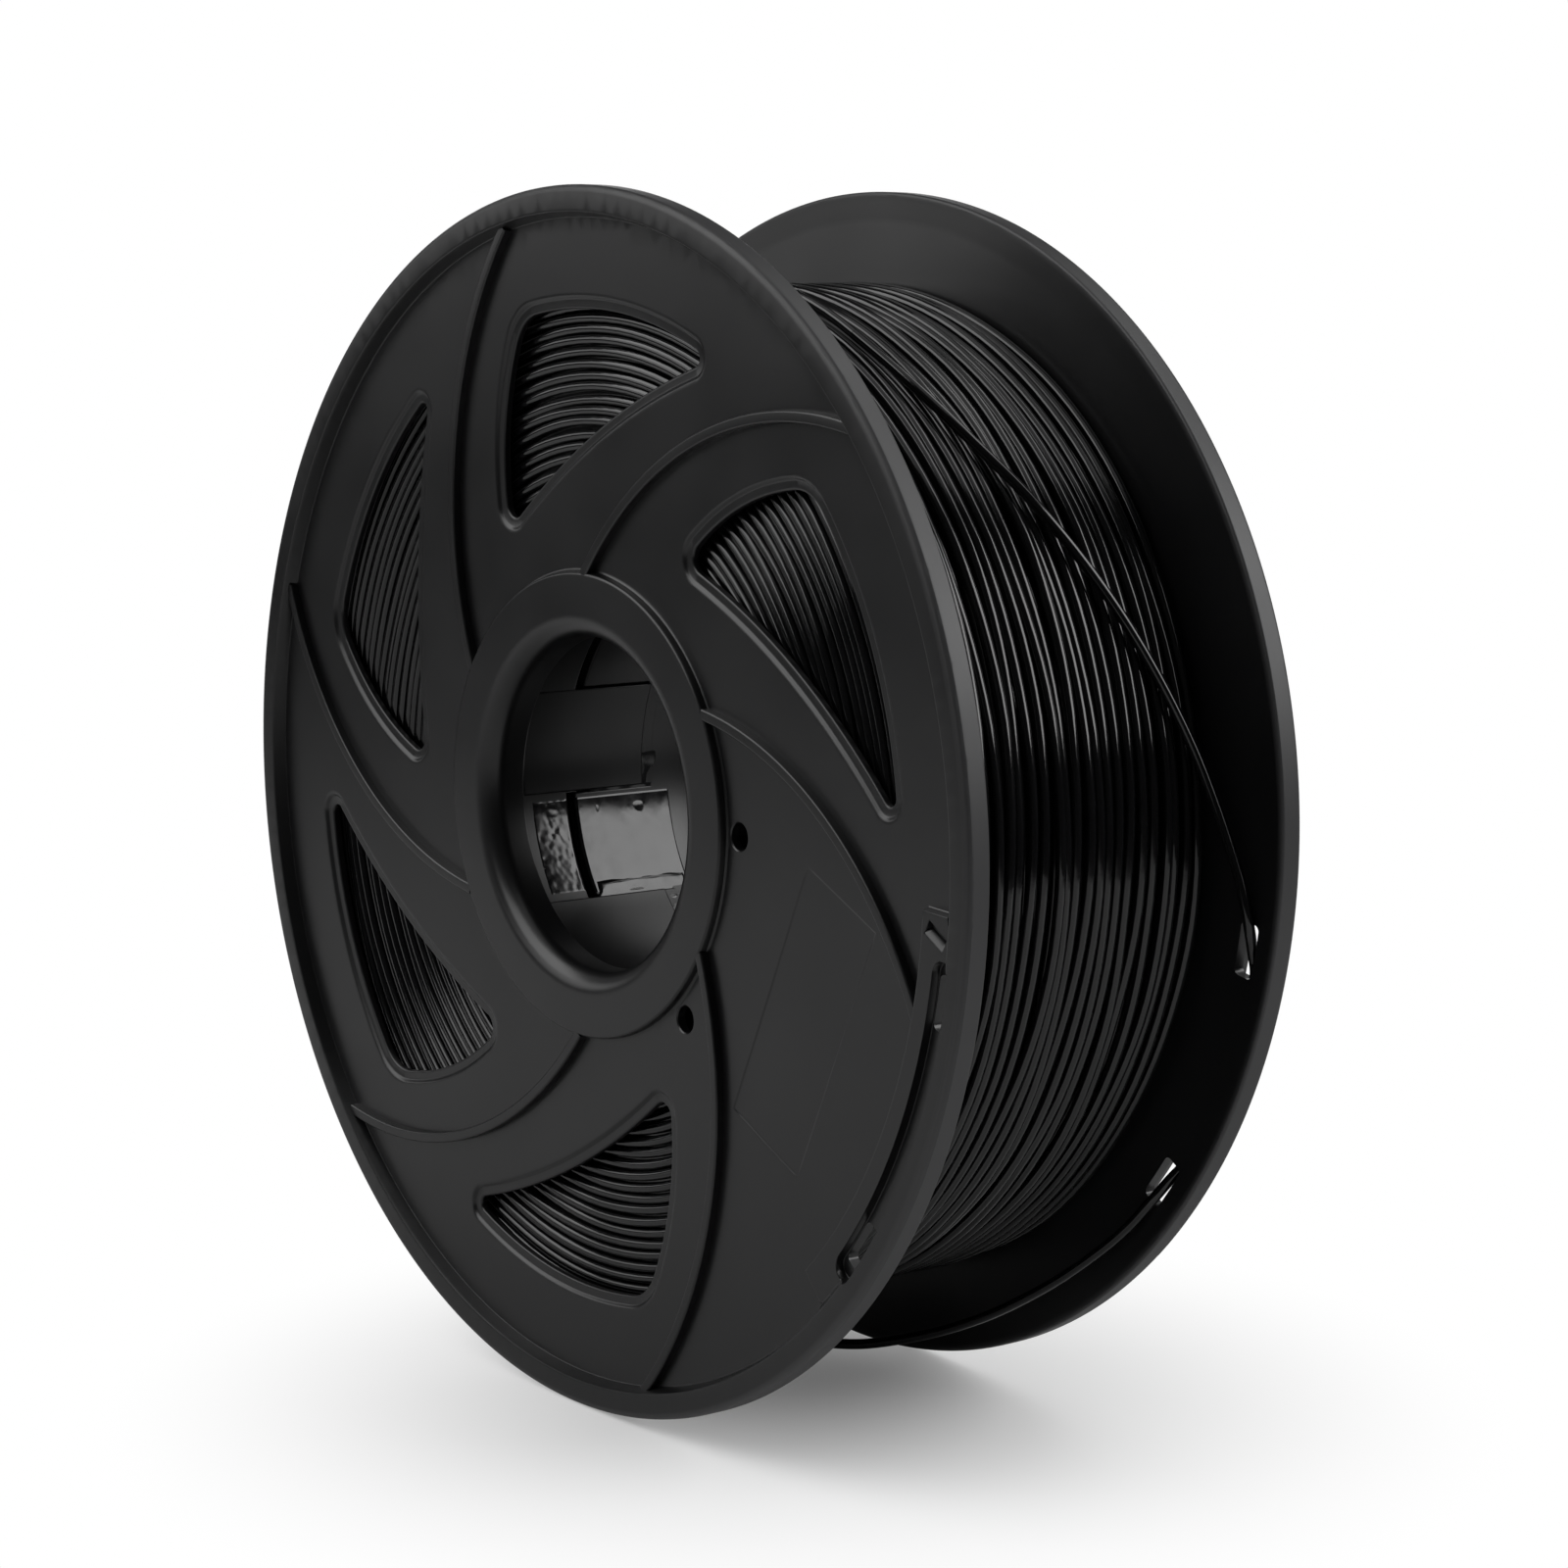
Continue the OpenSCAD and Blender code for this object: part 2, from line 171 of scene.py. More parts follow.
def spread(tree, value, low, high, start=0.3, end=0.7):
    """Maps a noise value to the range from low to high."""
    return add(tree, "ShaderNodeMapRange", {"Value": value, "From Min": start, "From Max": end,
                                            "To Min": low, "To Max": high}).outputs["Result"]


def mixed(tree, share, first, second):
    """The first hex colour, or the second where share is 1."""
    return add(tree, "ShaderNodeMix", {0: share, 6: linear(first), 7: linear(second)},
               data_type="RGBA").outputs[2]


def bump(tree, height, depth, normal=None):
    """Bumps of so many metres, on top of those that the normal already has."""
    inputs = {"Height": height, "Strength": 1.0, "Distance": depth}
    if normal is not None:
        inputs["Normal"] = normal
    return add(tree, "ShaderNodeBump", inputs).outputs["Normal"]


def moulded_styrene():
    material, tree, where = start_plastic("black_moulded_styrene_satin")
    flow = noise(tree, where, 26 * MM, 3)
    flat = add(tree, "ShaderNodeVectorMath", {0: where, 1: (1, 0, 1)}, operation="MULTIPLY")
    from_axis = add(tree, "ShaderNodeVectorMath", {0: flat.outputs[0]}, operation="LENGTH")
    scuffed_and_sheen = spread(tree, from_axis.outputs["Value"], 0, 1, GLOSSY_R * MM, SCUFFED_SHEEN_R * MM)
    grain = bump(tree, noise(tree, where, 0.35 * MM, 1), 0.0012 * MM)
    end_plastic(tree, {
        # The rolling edge is painted lighter grey: a painted sheen for the light it catches, on top of
        # its rougher, rubbed surface
        "Base Color": mixed(tree, scuffed_and_sheen, "#0e0e0f", "#2c2c2d"),
        "Roughness": maths(tree, "MULTIPLY_ADD", scuffed_and_sheen, 0.15, spread(tree, flow, 0.28, 0.35)),
        "Normal": bump(tree, noise(tree, where, 9 * MM), 0.02 * MM, grain)})
    return material


spool_plastic = moulded_styrene()
print("made", spool_plastic.name)

# %% [markdown]
# The strand is drawn out of a hot nozzle and cooled in water, so it is much
# smoother than the moulding: a deep black with narrow, clear highlights that
# run along each turn. Bumps of a hundredth of a millimetre and more break those
# highlights up, as the strand's kinks and changes of thickness do.

# %% Filament plastic


def smooth_plastic(name, colour, patch, roughness, ripple):
    """Gloss whose roughness changes over patches, with ripples; sizes in mm."""
    material, tree, where = start_plastic(name)
    end_plastic(tree, {
        "Base Color": linear(colour),
        "Roughness": spread(tree, noise(tree, where, patch * MM), *roughness),
        "Normal": bump(tree, noise(tree, where, 2.5 * MM), ripple * MM)})
    return material


strand_plastic = smooth_plastic("black_extruded_strand_semigloss", "#080809", 9, (0.08, 0.16), 0.015)
print("made", strand_plastic.name)

# %% [markdown]
# The free end of the strand is a cord with a known route. It leaves the top of
# the winding, goes out through one slot of the rear flange, lies in the groove
# on its outside and comes back in through the second slot. Its points are the
# same as in the CAD source. A smooth line goes through them, and a bevelled
# curve gives the line its thickness.

# %% The parked end
STRAND_D = 1.75 * MM
TAIL_ROUTE = [  # angle in degrees, radius in mm, Y in mm
    (62, 86.525, -6.4), (56, 86.5, -5.4), (50, 86.5, -3.4), (44, 86.5, -0.4), (37, 86.5, 4.6),
    (30, 86.5, 9.6), (23, 86.5, 14.6), (16, 86.5, 19.5), (9, 87.2, 23.7), (3, 89, 26.1),
    (-2, 91.6, 27.3), (-4.8, 93.4, 27.7), (-8, 94.9, 28.3), (-10.6, 94.7, 30.1), (-13.3, 94.4, 32),
    (-17, 94.1, 32.3), (-24, 94, 32.3), (-31, 94.1, 32.3), (-34.6, 94.4, 32), (-37.3, 94.6, 30.1),
    (-39.9, 95.1, 28.3), (-43.4, 95.1, 27.6), (-48, 94.8, 26.7), (-55, 94.6, 25), (-63, 94.8, 23),
    (-70, 95.3, 21.4), (-76, 96, 19), (-82, 96.6, 15), (-90, 96.6, 11), (-98, 96, 7),
    (-105, 95, 4)]


def on_spool(angle, radius, y):
    """A point of the spool's own polar frame, in metres."""
    a = math.radians(angle)
    return np.array([radius * math.cos(a), y, radius * math.sin(a)]) * MM


def smooth_line(points, steps):
    """A line through the points, with so many steps from each to the next."""
    p = [2 * points[0] - points[1], *points, 2 * points[-1] - points[-2]]
    line = []
    for a, b, c, d in zip(p, p[1:], p[2:], p[3:]):
        for t in np.arange(steps) / steps:
            line.append((2 * b + (c - a) * t + (2 * a - 5 * b + 4 * c - d) * t ** 2
                         + (3 * b - a - 3 * c + d) * t ** 3) / 2)
    return np.array(line + [points[-1]])


def strand_along(name, line):
    """One open stretch of strand along the line, as a bevelled curve."""
    curve = bpy.data.curves.new(name, "CURVE")
    curve.dimensions = "3D"
    curve.bevel_depth, curve.bevel_resolution = STRAND_D / 2, 4
    curve.use_fill_caps = True
    spline = curve.splines.new("POLY")
    spline.points.add(len(line) - 1)
    for point, place in zip(spline.points, line):
        point.co = (*place, 1)
    curve.materials.append(strand_plastic)
    return new_object(name, curve)


def dress(piece, node):
    """The piece rides on the spool's one body and stands for the CAD node."""
    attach(piece, "root")
    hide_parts(node)
    if piece.type == "MESH":
        print(piece.name, len(piece.data.polygons), "faces")
    return piece


tail_line = smooth_line([on_spool(*p) for p in TAIL_ROUTE], 6)
parked_end = dress(strand_along("parked_end", tail_line), "filament_tail")

# %% [markdown]
# The driving sizes of a half spool. The three largest come from the packed
# model, and the others are those of its source. The middle plane of the spool
# is height 0, and the flange's face is the highest level. The panel is dished:
# it falls evenly from the rim to the hub.

# %% Sizes of a half spool, in mm
low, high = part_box("front_half_spool")
FLANGE_R = high.x / MM
FACE_Z = -low.y / MM
BORE_R = frame["record"]["mounts"][0]["dims"]["r_mm"]
FLANGE_T, PANEL_T, RIM_R, DRUM_R, DRUM_WALL = 4.2, 1.8, 95.2, 38.2, 1.9
DISH, RIB_DROP, RIB_W = 1.5, 0.9, 1.8
BACK_Z = FACE_Z - FLANGE_T
PANEL_Z = BACK_Z + PANEL_T
RIB_Z = FACE_Z - RIB_DROP
HUB_Z = RIB_Z - DISH
TONGUE_REACH, ROOT_Z = 7.3, 8.9
TURN_ANGLE, PARK_ANGLE = -24.4, -24.8
SECTORS, TONGUES = 6, 6
FRONT = Matrix.Rotation(math.radians(90), 4, "X")
TURN_AXIS = Vector((math.cos(math.radians(TURN_ANGLE)), math.sin(math.radians(TURN_ANGLE)), 0))
REAR = FRONT @ Matrix.Rotation(math.pi, 4, TURN_AXIS)


def sunk(r):
    """How far the dished panel has fallen at radius r."""
    return DISH * (RIM_R - np.clip(r, DRUM_R, RIM_R)) / (RIM_R - DRUM_R)


print("flange radius", round(FLANGE_R, 2), "face at", round(FACE_Z, 2), "bore radius", BORE_R)

# %% [markdown]
# Outlines are drawn with the same few rules as in the CAD source: arcs about
# the middle, sides that bow in or out, and round corners. Each returns points
# in the plane of the flange. A window has a sunken ledge around it, whose lines
# are the outline of the hole, moved outwards along its normals.

# %% Outline tools


def polar(r, angle):
    a = np.radians(angle)
    return np.stack([r * np.cos(a), r * np.sin(a)], -1)


def circle(r, n, centre=(0, 0)):
    return polar(r, np.arange(n) * 360 / n) + centre


def bowed(p, q, bow, t):
    side = np.array([p[1] - q[1], q[0] - p[0]]) / np.linalg.norm(q - p)
    t = np.atleast_1d(t)[:, None]
    return p + (q - p) * t + side * bow * 4 * t * (1 - t)


def corner(a, b, c, n=14):
    """Round corner from a over b to c, as far from b as a is, without a itself."""
    t = (np.arange(1, n + 1) / n)[:, None]
    w = np.linalg.norm(c - a) / np.linalg.norm(b - a) * t * (1 - t)
    return (a * (1 - t) ** 2 + b * w + c * t * t) / ((1 - t) ** 2 + w + t * t)


def grown(outline, by):
    """The outline moved outwards by so many millimetres."""
    step = np.roll(outline, -1, 0) - np.roll(outline, 1, 0)
    out = np.stack([step[:, 1], -step[:, 0]], -1) / np.linalg.norm(step, axis=1)[:, None]
    return outline + out * by


def window_outline(outer_r, inner_r, lead, trail, tip, bow_in, bow_out, cut):
    """Two corners at the angles lead and trail of the outer radius, one at tip of the inner."""
    a, b, c = polar(outer_r, lead), polar(outer_r, trail), polar(inner_r, tip)
    edge = math.degrees(cut / outer_r)
    long_cut, short_cut = cut / np.linalg.norm(a - c), cut / np.linalg.norm(b - c)
    arc = polar(outer_r, np.linspace(lead + edge, trail - edge, 40))
    short = bowed(b, c, -bow_out, np.linspace(short_cut, 1 - short_cut, 16))
    long = bowed(c, a, bow_in, np.linspace(long_cut, 1 - long_cut, 34))
    return np.concatenate([arc, corner(arc[-1], b, short[0])[:-1], short,
                           corner(short[-1], c, long[0])[:-1], long,
                           corner(long[-1], a, arc[0])[:-1]])


def slot_outline(r, width, a, b, c):
    """Curved slot of radius r between the angles a and b, with corners of radius c."""
    r0, r1 = r - width / 2, r + width / 2
    i, o = math.degrees(c / (r0 + c)), math.degrees(c / (r1 - c))
    n = max(4, int((b - a) * 1.2))

    def rounded(radius, angle, start):
        return polar(radius, angle) + polar(c, angle + start + np.linspace(15, 75, 5))

    return np.concatenate([
        polar(r1, np.linspace(a + o, b - o, n)), rounded(r1 - c, b - o, 0),
        rounded(r0 + c, b - i, 90), polar(r0, np.linspace(b - i, a + i, n)),
        rounded(r0 + c, a + i, 180), rounded(r1 - c, a + o, 270)])


window_hole = window_outline(outer_r=80.4, inner_r=49.3, lead=4.4, trail=42, tip=56.7,
                             bow_in=3.6, bow_out=3.2, cut=3.8)
print("a window has", len(window_hole), "points")

# %% [markdown]
# The flange is the main moulding, and it is a relief: seen from the front, each
# spot has one height. So it is made as a relief map. The lines where the height
# changes, such as the foot and the top edge of a wall, are drawn as outlines.
# A Delaunay triangulation joins them with a field of loose points, so that no
# triangle crosses a line, and then every point is lifted to its height. The
# same triangles, at the height of the back face, close the plate.

# %% Heights of the flange
# A wall of the moulding: distance inwards from its line, and share of the climb
WALL = np.array([(-0.45, 0), (-0.25, 0), (-0.08, 0.08), (0.06, 0.86), (0.16, 0.97), (0.3, 1), (0.5, 1)])
FINE_WALL = WALL * (0.5, 1)
EDGE_ROUND = 1.2
quarter_turn = np.radians(np.linspace(0, 90, 6))
# The rim and the edge of the back: radius and height, from the panel outwards
RIM_PROFILE = [(94.75, PANEL_Z), (94.95, PANEL_Z + 0.12), (95.5, FACE_Z - 0.55),
               (95.72, FACE_Z - 0.16), (96.1, FACE_Z)] + [
    (FLANGE_R - EDGE_ROUND * (1 - s), FACE_Z - EDGE_ROUND * (1 - c))
    for s, c in zip(np.sin(quarter_turn), np.cos(quarter_turn))]
BACK_PROFILE = [(99.5, BACK_Z), (99.76, BACK_Z + 0.07), (99.93, BACK_Z + 0.24),
                (FLANGE_R, BACK_Z + 0.5)]
# The fillet that the panel makes with the hub ring: radius, and rise over the panel
HUB_FILLET = [(DRUM_R, 0.45), (DRUM_R + 0.12, 0.2), (DRUM_R + 0.32, 0.05), (DRUM_R + 0.6, 0)]
# A window's edge: distance out from the hole, and drop of the front and of the back.
# The ledge is sunk by 0.5 mm, and its step lies 1.8 mm from the hole.
LEDGE = [(0, 0.75, 0.3), (0.1, 0.6, 0.1), (0.25, 0.52, 0), (0.45, 0.5, 0), (1.4, 0.5, 0),
         (1.55, 0.45, 0), (1.7, 0.34, 0), (1.88, 0.16, 0), (2.05, 0.05, 0), (2.25, 0, 0), (2.7, 0, 0)]
# Of each feature: R is the radius it lies on, W and L its width and length, D its
# diameter, and HALF and AT are angles from the mirror line of the blank sector
GROOVE_R, GROOVE_W, GROOVE_HALF = 94.25, 4.3, 17.4
PAD_W, PAD_HALF, PAD_OUTER_R = 3.4, 21.6, 94.6
PAD_R = GROOVE_R - GROOVE_W / 2 - PAD_W
LABEL_R, LABEL_W, LABEL_L, LABEL_DEPTH = 64, 18.4, 44.5, 0.12
NOTCH_R, NOTCH_L, NOTCH_W, NOTCH_TURN = GROOVE_R - GROOVE_W / 2, 4.6, 2.2, -24
NOTCH_ANGLE, NOTCH_DROP = PARK_ANGLE + (GROOVE_HALF + PAD_HALF) / 2, 1.2
# The notch has a ramp on its inner side: distance across it, and share of its depth
NOTCH_RAMP = [(-1, 0), (0, 0.04), (0.15, 0.14), (0.85, 0.66), (1.0, 1)]
RAMP_MARGIN = 0.4
PEG_R, PEG_D, PEG_HALF, PEG_EDGE = 41.4, 4.4, 24.3, 0.2
SLOT_W, SLOT_AT, SLOT_SPAN, SLOT_ROUND = 3.7, 13.4, 5.3, 1


def turned(points, angle, centre=(0, 0)):
    """Points as seen from a frame that is turned by angle about the middle."""
    a = np.radians(-angle)
    x, y = points[..., 0], points[..., 1]
    return np.stack([x * np.cos(a) - y * np.sin(a), x * np.sin(a) + y * np.cos(a)], -1) - centre


def inside_box(points, length, width):
    return np.minimum(length / 2 - abs(points[..., 0]), width / 2 - abs(points[..., 1]))


def inside_groove(points):
    p = turned(points, PARK_ANGLE)
    a = np.degrees(np.arctan2(p[:, 1], p[:, 0]))
    half = GROOVE_HALF - math.degrees(GROOVE_W / 2 / GROOVE_R)
    ends = np.linalg.norm(p - polar(GROOVE_R, np.clip(a, -half, half)), axis=1)
    return GROOVE_W / 2 - ends


def inside_pad(points):
    p = turned(points, PARK_ANGLE)
    r, a = np.hypot(*p.T), np.degrees(np.arctan2(p[:, 1], p[:, 0]))
    return np.minimum(r - PAD_R, np.radians(PAD_HALF - abs(a)) * r)


def climb(inside, wall=WALL):
    return np.interp(inside, *wall.T)


def front_height(points):
    r = np.hypot(*points.T)
    z = np.interp(r, *zip(*RIM_PROFILE))
    z = np.where(r < RIM_PROFILE[0][0], PANEL_Z - sunk(r), z)
    z += np.interp(r, *zip(*HUB_FILLET))
    z += climb(inside_pad(points)) * np.maximum(RIB_Z - sunk(r) - z, 0)
    z += climb(inside_groove(points), FINE_WALL) * np.minimum(PANEL_Z - z, 0)
    label = inside_box(turned(points, PARK_ANGLE, (LABEL_R, 0)), LABEL_W, LABEL_L)
    z -= climb(label) * LABEL_DEPTH
    notch = turned(turned(points, NOTCH_ANGLE, (NOTCH_R, 0)), NOTCH_TURN)
    depth = np.minimum(climb(inside_box(notch, NOTCH_L, NOTCH_W), FINE_WALL),
                       np.interp(notch[:, 1] + NOTCH_W / 2, *zip(*NOTCH_RAMP)))
    return z + depth * np.minimum(RIB_Z - NOTCH_DROP - z, 0)


def back_height(points):
    r = np.hypot(*points.T)
    return np.where(r < RIM_R, BACK_Z - sunk(r), np.interp(r, *zip(*BACK_PROFILE)))


print("rim and back profiles have", len(RIM_PROFILE), "and", len(BACK_PROFILE), "points")

# %% [markdown]
# The lines of the relief follow. Each line carries how far its points are
# pressed down at the front and at the back, which is how the ledge of a window
# and the broken edges of the peg holes are made. A line with such a drop must
# not cross another line, because the points of a crossing carry no drop.

# %% Lines of the flange


def boxed(length, width, centre, angle, step):
    """Outline of a turned rectangle, with points about step apart along its sides."""
    n, m = int(length / step), int(width / step)
    x, y = length / 2, width / 2
    side = [np.linspace(a, b, k + 1)[:-1] for a, b, k in
            (((-x, -y), (x, -y), n), ((x, -y), (x, y), m), ((x, y), (-x, y), n),
             ((-x, y), (-x, -y), m))]
    return turned(np.concatenate(side) + centre, -angle)


lines, holes = [], []


def draw(outline, front_drop=0.0, back_drop=0.0, hole=False):
    lines.append((outline, front_drop, back_drop))
    if hole:
        holes.append(outline)


for k in range(SECTORS - 1):
    for out, front, behind in LEDGE:
        draw(turned(grown(window_hole, out), -360 / SECTORS * k), front, behind, hole=out == 0)
for side in (-1, 1):
    middle = PARK_ANGLE + side * SLOT_AT
    draw(slot_outline(GROOVE_R, SLOT_W, middle - SLOT_SPAN / 2, middle + SLOT_SPAN / 2, SLOT_ROUND),
         hole=True)
    middle = polar(PEG_R, PARK_ANGLE + side * PEG_HALF)
    draw(circle(PEG_D / 2, 32, middle), PEG_EDGE, PEG_EDGE, hole=True)
    for out in (PEG_EDGE, 0.5):
        draw(circle(PEG_D / 2 + out, 32, middle))
for d, _ in WALL:
    edge = math.degrees(d / 2 / GROOVE_R)
    draw(slot_outline(GROOVE_R, GROOVE_W - d, PARK_ANGLE - GROOVE_HALF + edge,
                      PARK_ANGLE + GROOVE_HALF - edge, (GROOVE_W - d) / 2 - 0.02))
    edge = math.degrees(d / GROOVE_R)
    pad = PARK_ANGLE + np.linspace(-PAD_HALF + edge, PAD_HALF - edge, 60)
    draw(np.concatenate([polar(PAD_R + d, pad), polar(PAD_OUTER_R, pad[::-1])]))
    draw(boxed(LABEL_W - 2 * d, LABEL_L - 2 * d, (LABEL_R, 0), PARK_ANGLE, 2))
    notch = boxed(NOTCH_L - d, NOTCH_W - d, (0, 0), NOTCH_TURN, 0.4)
    draw(turned(notch + (NOTCH_R, 0), -NOTCH_ANGLE))
for y, _ in NOTCH_RAMP[2:]:
    ramp = boxed(NOTCH_L - 2 * RAMP_MARGIN, NOTCH_W - y - RAMP_MARGIN,
                 (0, (y - RAMP_MARGIN) / 2), NOTCH_TURN, 0.4)
    draw(turned(ramp + (NOTCH_R, 0), -NOTCH_ANGLE))
# The flange's inner edge lies inside the hub ring, out of sight
INNER_R, HUB_POINTS, RIM_POINTS = DRUM_R - 0.4, 240, 360
for r in [INNER_R, *(r for r, _ in HUB_FILLET + RIM_PROFILE + BACK_PROFILE[:-1])]:
    draw(circle(r, HUB_POINTS if r < 50 else RIM_POINTS))
print(len(lines), "lines with", sum(len(l[0]) for l in lines), "points")

# %% [markdown]
# Loose points fill the faces between the lines, so that the dish of the panel
# stays even. Points close to a line are left out, because they would only make
# slivers. The triangulation needs all points in one list, and the lines as
# pairs of their numbers.

# %% Triangulate the flange


def is_inside(points, outline):
    """True for each point that lies inside the outline."""
    a, b = outline, np.roll(outline, -1, 0)
    x, y = points[:, :1], points[:, 1:]
    crosses = (a[:, 1] > y) != (b[:, 1] > y)
    at = a[:, 0] + (y - a[:, 1]) / np.where(b[:, 1] == a[:, 1], 1, b[:, 1] - a[:, 1]) * (
        b[:, 0] - a[:, 0])
    return (np.sum(crosses & (x < at), 1) % 2) == 1


def loose_points(step, keep_off):
    """A field of points step apart, all about keep_off or more from the lines."""
    rows = np.arange(-FLANGE_R, FLANGE_R, step * 0.866)
    grid = np.array([(x + (i % 2) * step / 2, y) for i, y in enumerate(rows)
                     for x in np.arange(-FLANGE_R, FLANGE_R, step)])
    r = np.hypot(*grid.T)
    grid = grid[(r > INNER_R + 1) & (r < RIM_PROFILE[0][0] - 0.75)]
    taken = {tuple(cell) for line, _, _ in lines
             for dx in (-1, 0, 1) for dy in (-1, 0, 1)
             for cell in np.floor(line / keep_off).astype(int) + (dx, dy)}
    return grid[[tuple(c) not in taken for c in np.floor(grid / keep_off).astype(int)]]


all_points = np.concatenate([line for line, _, _ in lines] + [loose_points(step=3, keep_off=1.1)])
front_drop, back_drop = (np.concatenate([np.full(len(l[0]), l[i]) for l in lines])
                         for i in (1, 2))
edges, first = [], 0
for line, _, _ in lines:
    n = len(line)
    edges += [(first + i, first + (i + 1) % n) for i in range(n)]
    first += n
flat, _, faces, origins, _, _ = delaunay_2d_cdt(
    [Vector(p) for p in all_points], edges, [], 0, 1e-5, True)
flat = np.array([tuple(v) for v in flat])
faces = np.array([f for f in faces if len(f) == 3])
middles = flat[faces].mean(1)
gone = np.hypot(*middles.T) < INNER_R * math.cos(math.pi / HUB_POINTS)
for hole in holes:
    gone |= is_inside(middles, hole)
faces = faces[~gone]
print(len(flat), "points and", len(faces), "triangles")

# %% [markdown]
# Every point gets its two heights, less what its line presses it down. An edge
# that only one triangle has is a border, and there a wall joins front and back.
# The same plate, turned over, is the rear flange.

# %% Lift the flange to its heights


def even_shading(piece, sharp=40):
    """Smooth shading that keeps the edges sharper than so many degrees."""
    piece.data.shade_smooth()
    piece.data.set_sharp_from_angle(angle=math.radians(sharp))
    piece.modifiers.new("even_shading", "WEIGHTED_NORMAL").keep_sharp = True


def mesh_object(name, points, faces, material, matrix=Matrix(), sharp=35):
    """A smooth mesh from points in mm, turned by the matrix."""
    mesh = bpy.data.meshes.new(name)
    mesh.from_pydata((np.asarray(points, float) * MM).tolist(), [], [list(map(int, f)) for f in faces])
    mesh.transform(matrix)
    mesh.validate()
    mesh.materials.append(material)
    piece = new_object(name, mesh)
    even_shading(piece, sharp)
    return piece


def drops(which):
    """What the lines press down, for each point of the triangulation."""
    known = [[which[i] for i in o if i < len(which)] for o in origins]
    return np.array([max(k) if k else 0 for k in known])


front_z = front_height(flat) - drops(front_drop)
back_z = back_height(flat) + drops(back_drop)
shift = len(flat)
once = {}
for f in faces:
    for i, j in ((f[0], f[1]), (f[1], f[2]), (f[2], f[0])):
        if (j, i) in once:
            del once[(j, i)]
        else:
            once[(i, j)] = True
walls = [(j, i, i + shift, j + shift) for i, j in once]
plate_points = np.concatenate([np.column_stack([flat, front_z]), np.column_stack([flat, back_z])])
plate_faces = [*faces.tolist(), *(faces[:, ::-1] + shift).tolist(), *walls]


HALVES = (("front", FRONT, "front_half_spool"), ("rear", REAR, "rear_half_spool"))
for half, matrix, node in HALVES:
    dress(mesh_object(half + "_flange", plate_points, plate_faces, spool_plastic, matrix), node)

# %% [markdown]
# The hub is turned: one profile goes round the bore. It holds the hub ring that
# stands out of the panel, the rounded mouth of the bore, the short collar that
# runs on a holder's rod, and the root of the drum. A list of radius and height
# is enough, and a loop spins it.

# %% Hub, collar and drum root
HUB_T, COLLAR_WALL, LIP = 1.8, 1.8, 3.6
COLLAR_Z = HUB_Z - 7.6
DRUM_IN = DRUM_R - DRUM_WALL


def quarter(centre, radius, start, end, n=8):
    """Arc in the plane of radius and height."""
    return [(centre[0] + radius * math.cos(a), centre[1] + radius * math.sin(a))
            for a in np.radians(np.linspace(start, end, n))]


def round_edges(profile, radius, n=3):
    """Every corner of a closed profile rounded a little, as a mould leaves it."""
    p = np.array(profile)
    made = []
    for a, b, c in zip(np.roll(p, 1, 0), p, np.roll(p, -1, 0)):
        u, v = a - b, c - b
        cut = min(radius, np.linalg.norm(u) / 3, np.linalg.norm(v) / 3)
        u, v = b + u / np.linalg.norm(u) * cut, b + v / np.linalg.norm(v) * cut
        made += [u * (1 - t) ** 2 + b * 2 * t * (1 - t) + v * t * t for t in np.linspace(0, 1, n)]
    return made


def spun(profile, n):
    """Points and faces of a closed profile of (radius, height), turned round the bore."""
    profile = np.array(profile)
    m = len(profile)
    a = np.radians(np.arange(n) * 360 / n)
    points = [(r * math.cos(t), r * math.sin(t), z) for t in a for r, z in profile]
    faces = [(i * m + k, ((i + 1) % n) * m + k, ((i + 1) % n) * m + (k + 1) % m, i * m + (k + 1) % m)
             for i in range(n) for k in range(m)]
    return points, faces


# Radius and height: drum root and hub ring, mouth of the bore, collar, inside
hub_profile = round_edges(
    [(DRUM_R, ROOT_Z), (DRUM_R, PANEL_Z - DISH - 0.6), (DRUM_R + 0.12, PANEL_Z - DISH + 0.2),
     (DRUM_R - 0.1, HUB_Z), *quarter((BORE_R + LIP, HUB_Z - LIP), LIP, 90, 180, 10),
     (BORE_R, COLLAR_Z), (BORE_R + COLLAR_WALL, COLLAR_Z),
     (BORE_R + COLLAR_WALL, HUB_Z - HUB_T), (DRUM_IN, HUB_Z - HUB_T), (DRUM_IN, ROOT_Z)], 0.4)
points, faces = spun(hub_profile, HUB_POINTS)
for half, matrix, node in HALVES:
    dress(mesh_object(half + "_hub", points, faces, spool_plastic, matrix, 50), node)

# %% [markdown]
# The six curved ribs are the first thing that repeats, so Geometry Nodes make
# them. One arc is bent down with the dish of the panel, a rounded profile is
# run along it, and the result is placed six times round the bore. The profile
# reaches a little into the panel, the rim and the hub ring, as one moulding
# would join them. Baking the result gives a plain mesh.

# %% Geometry Nodes tools


def start_tree(name, sockets):
    """A Geometry Nodes tree with named inputs, each with its default value."""
    tree = bpy.data.node_groups.new(name, "GeometryNodeTree")
    tree.interface.new_socket("Geometry", in_out="OUTPUT", socket_type="NodeSocketGeometry")
    for label, value in sockets.items():
        kind = {int: "Int", float: "Float", tuple: "Vector"}[type(value)]
        tree.interface.new_socket(label, in_out="INPUT", socket_type="NodeSocket" + kind)
        tree.interface.items_tree[label].default_value = value
    return tree, add(tree, "NodeGroupInput").outputs


def end_tree(tree, geometry, material):
    real = output(tree, "GeometryNodeRealizeInstances", {0: geometry})
    painted = output(tree, "GeometryNodeSetMaterial", {"Geometry": real, "Material": material})
    add(tree, "NodeGroupOutput", {0: painted})


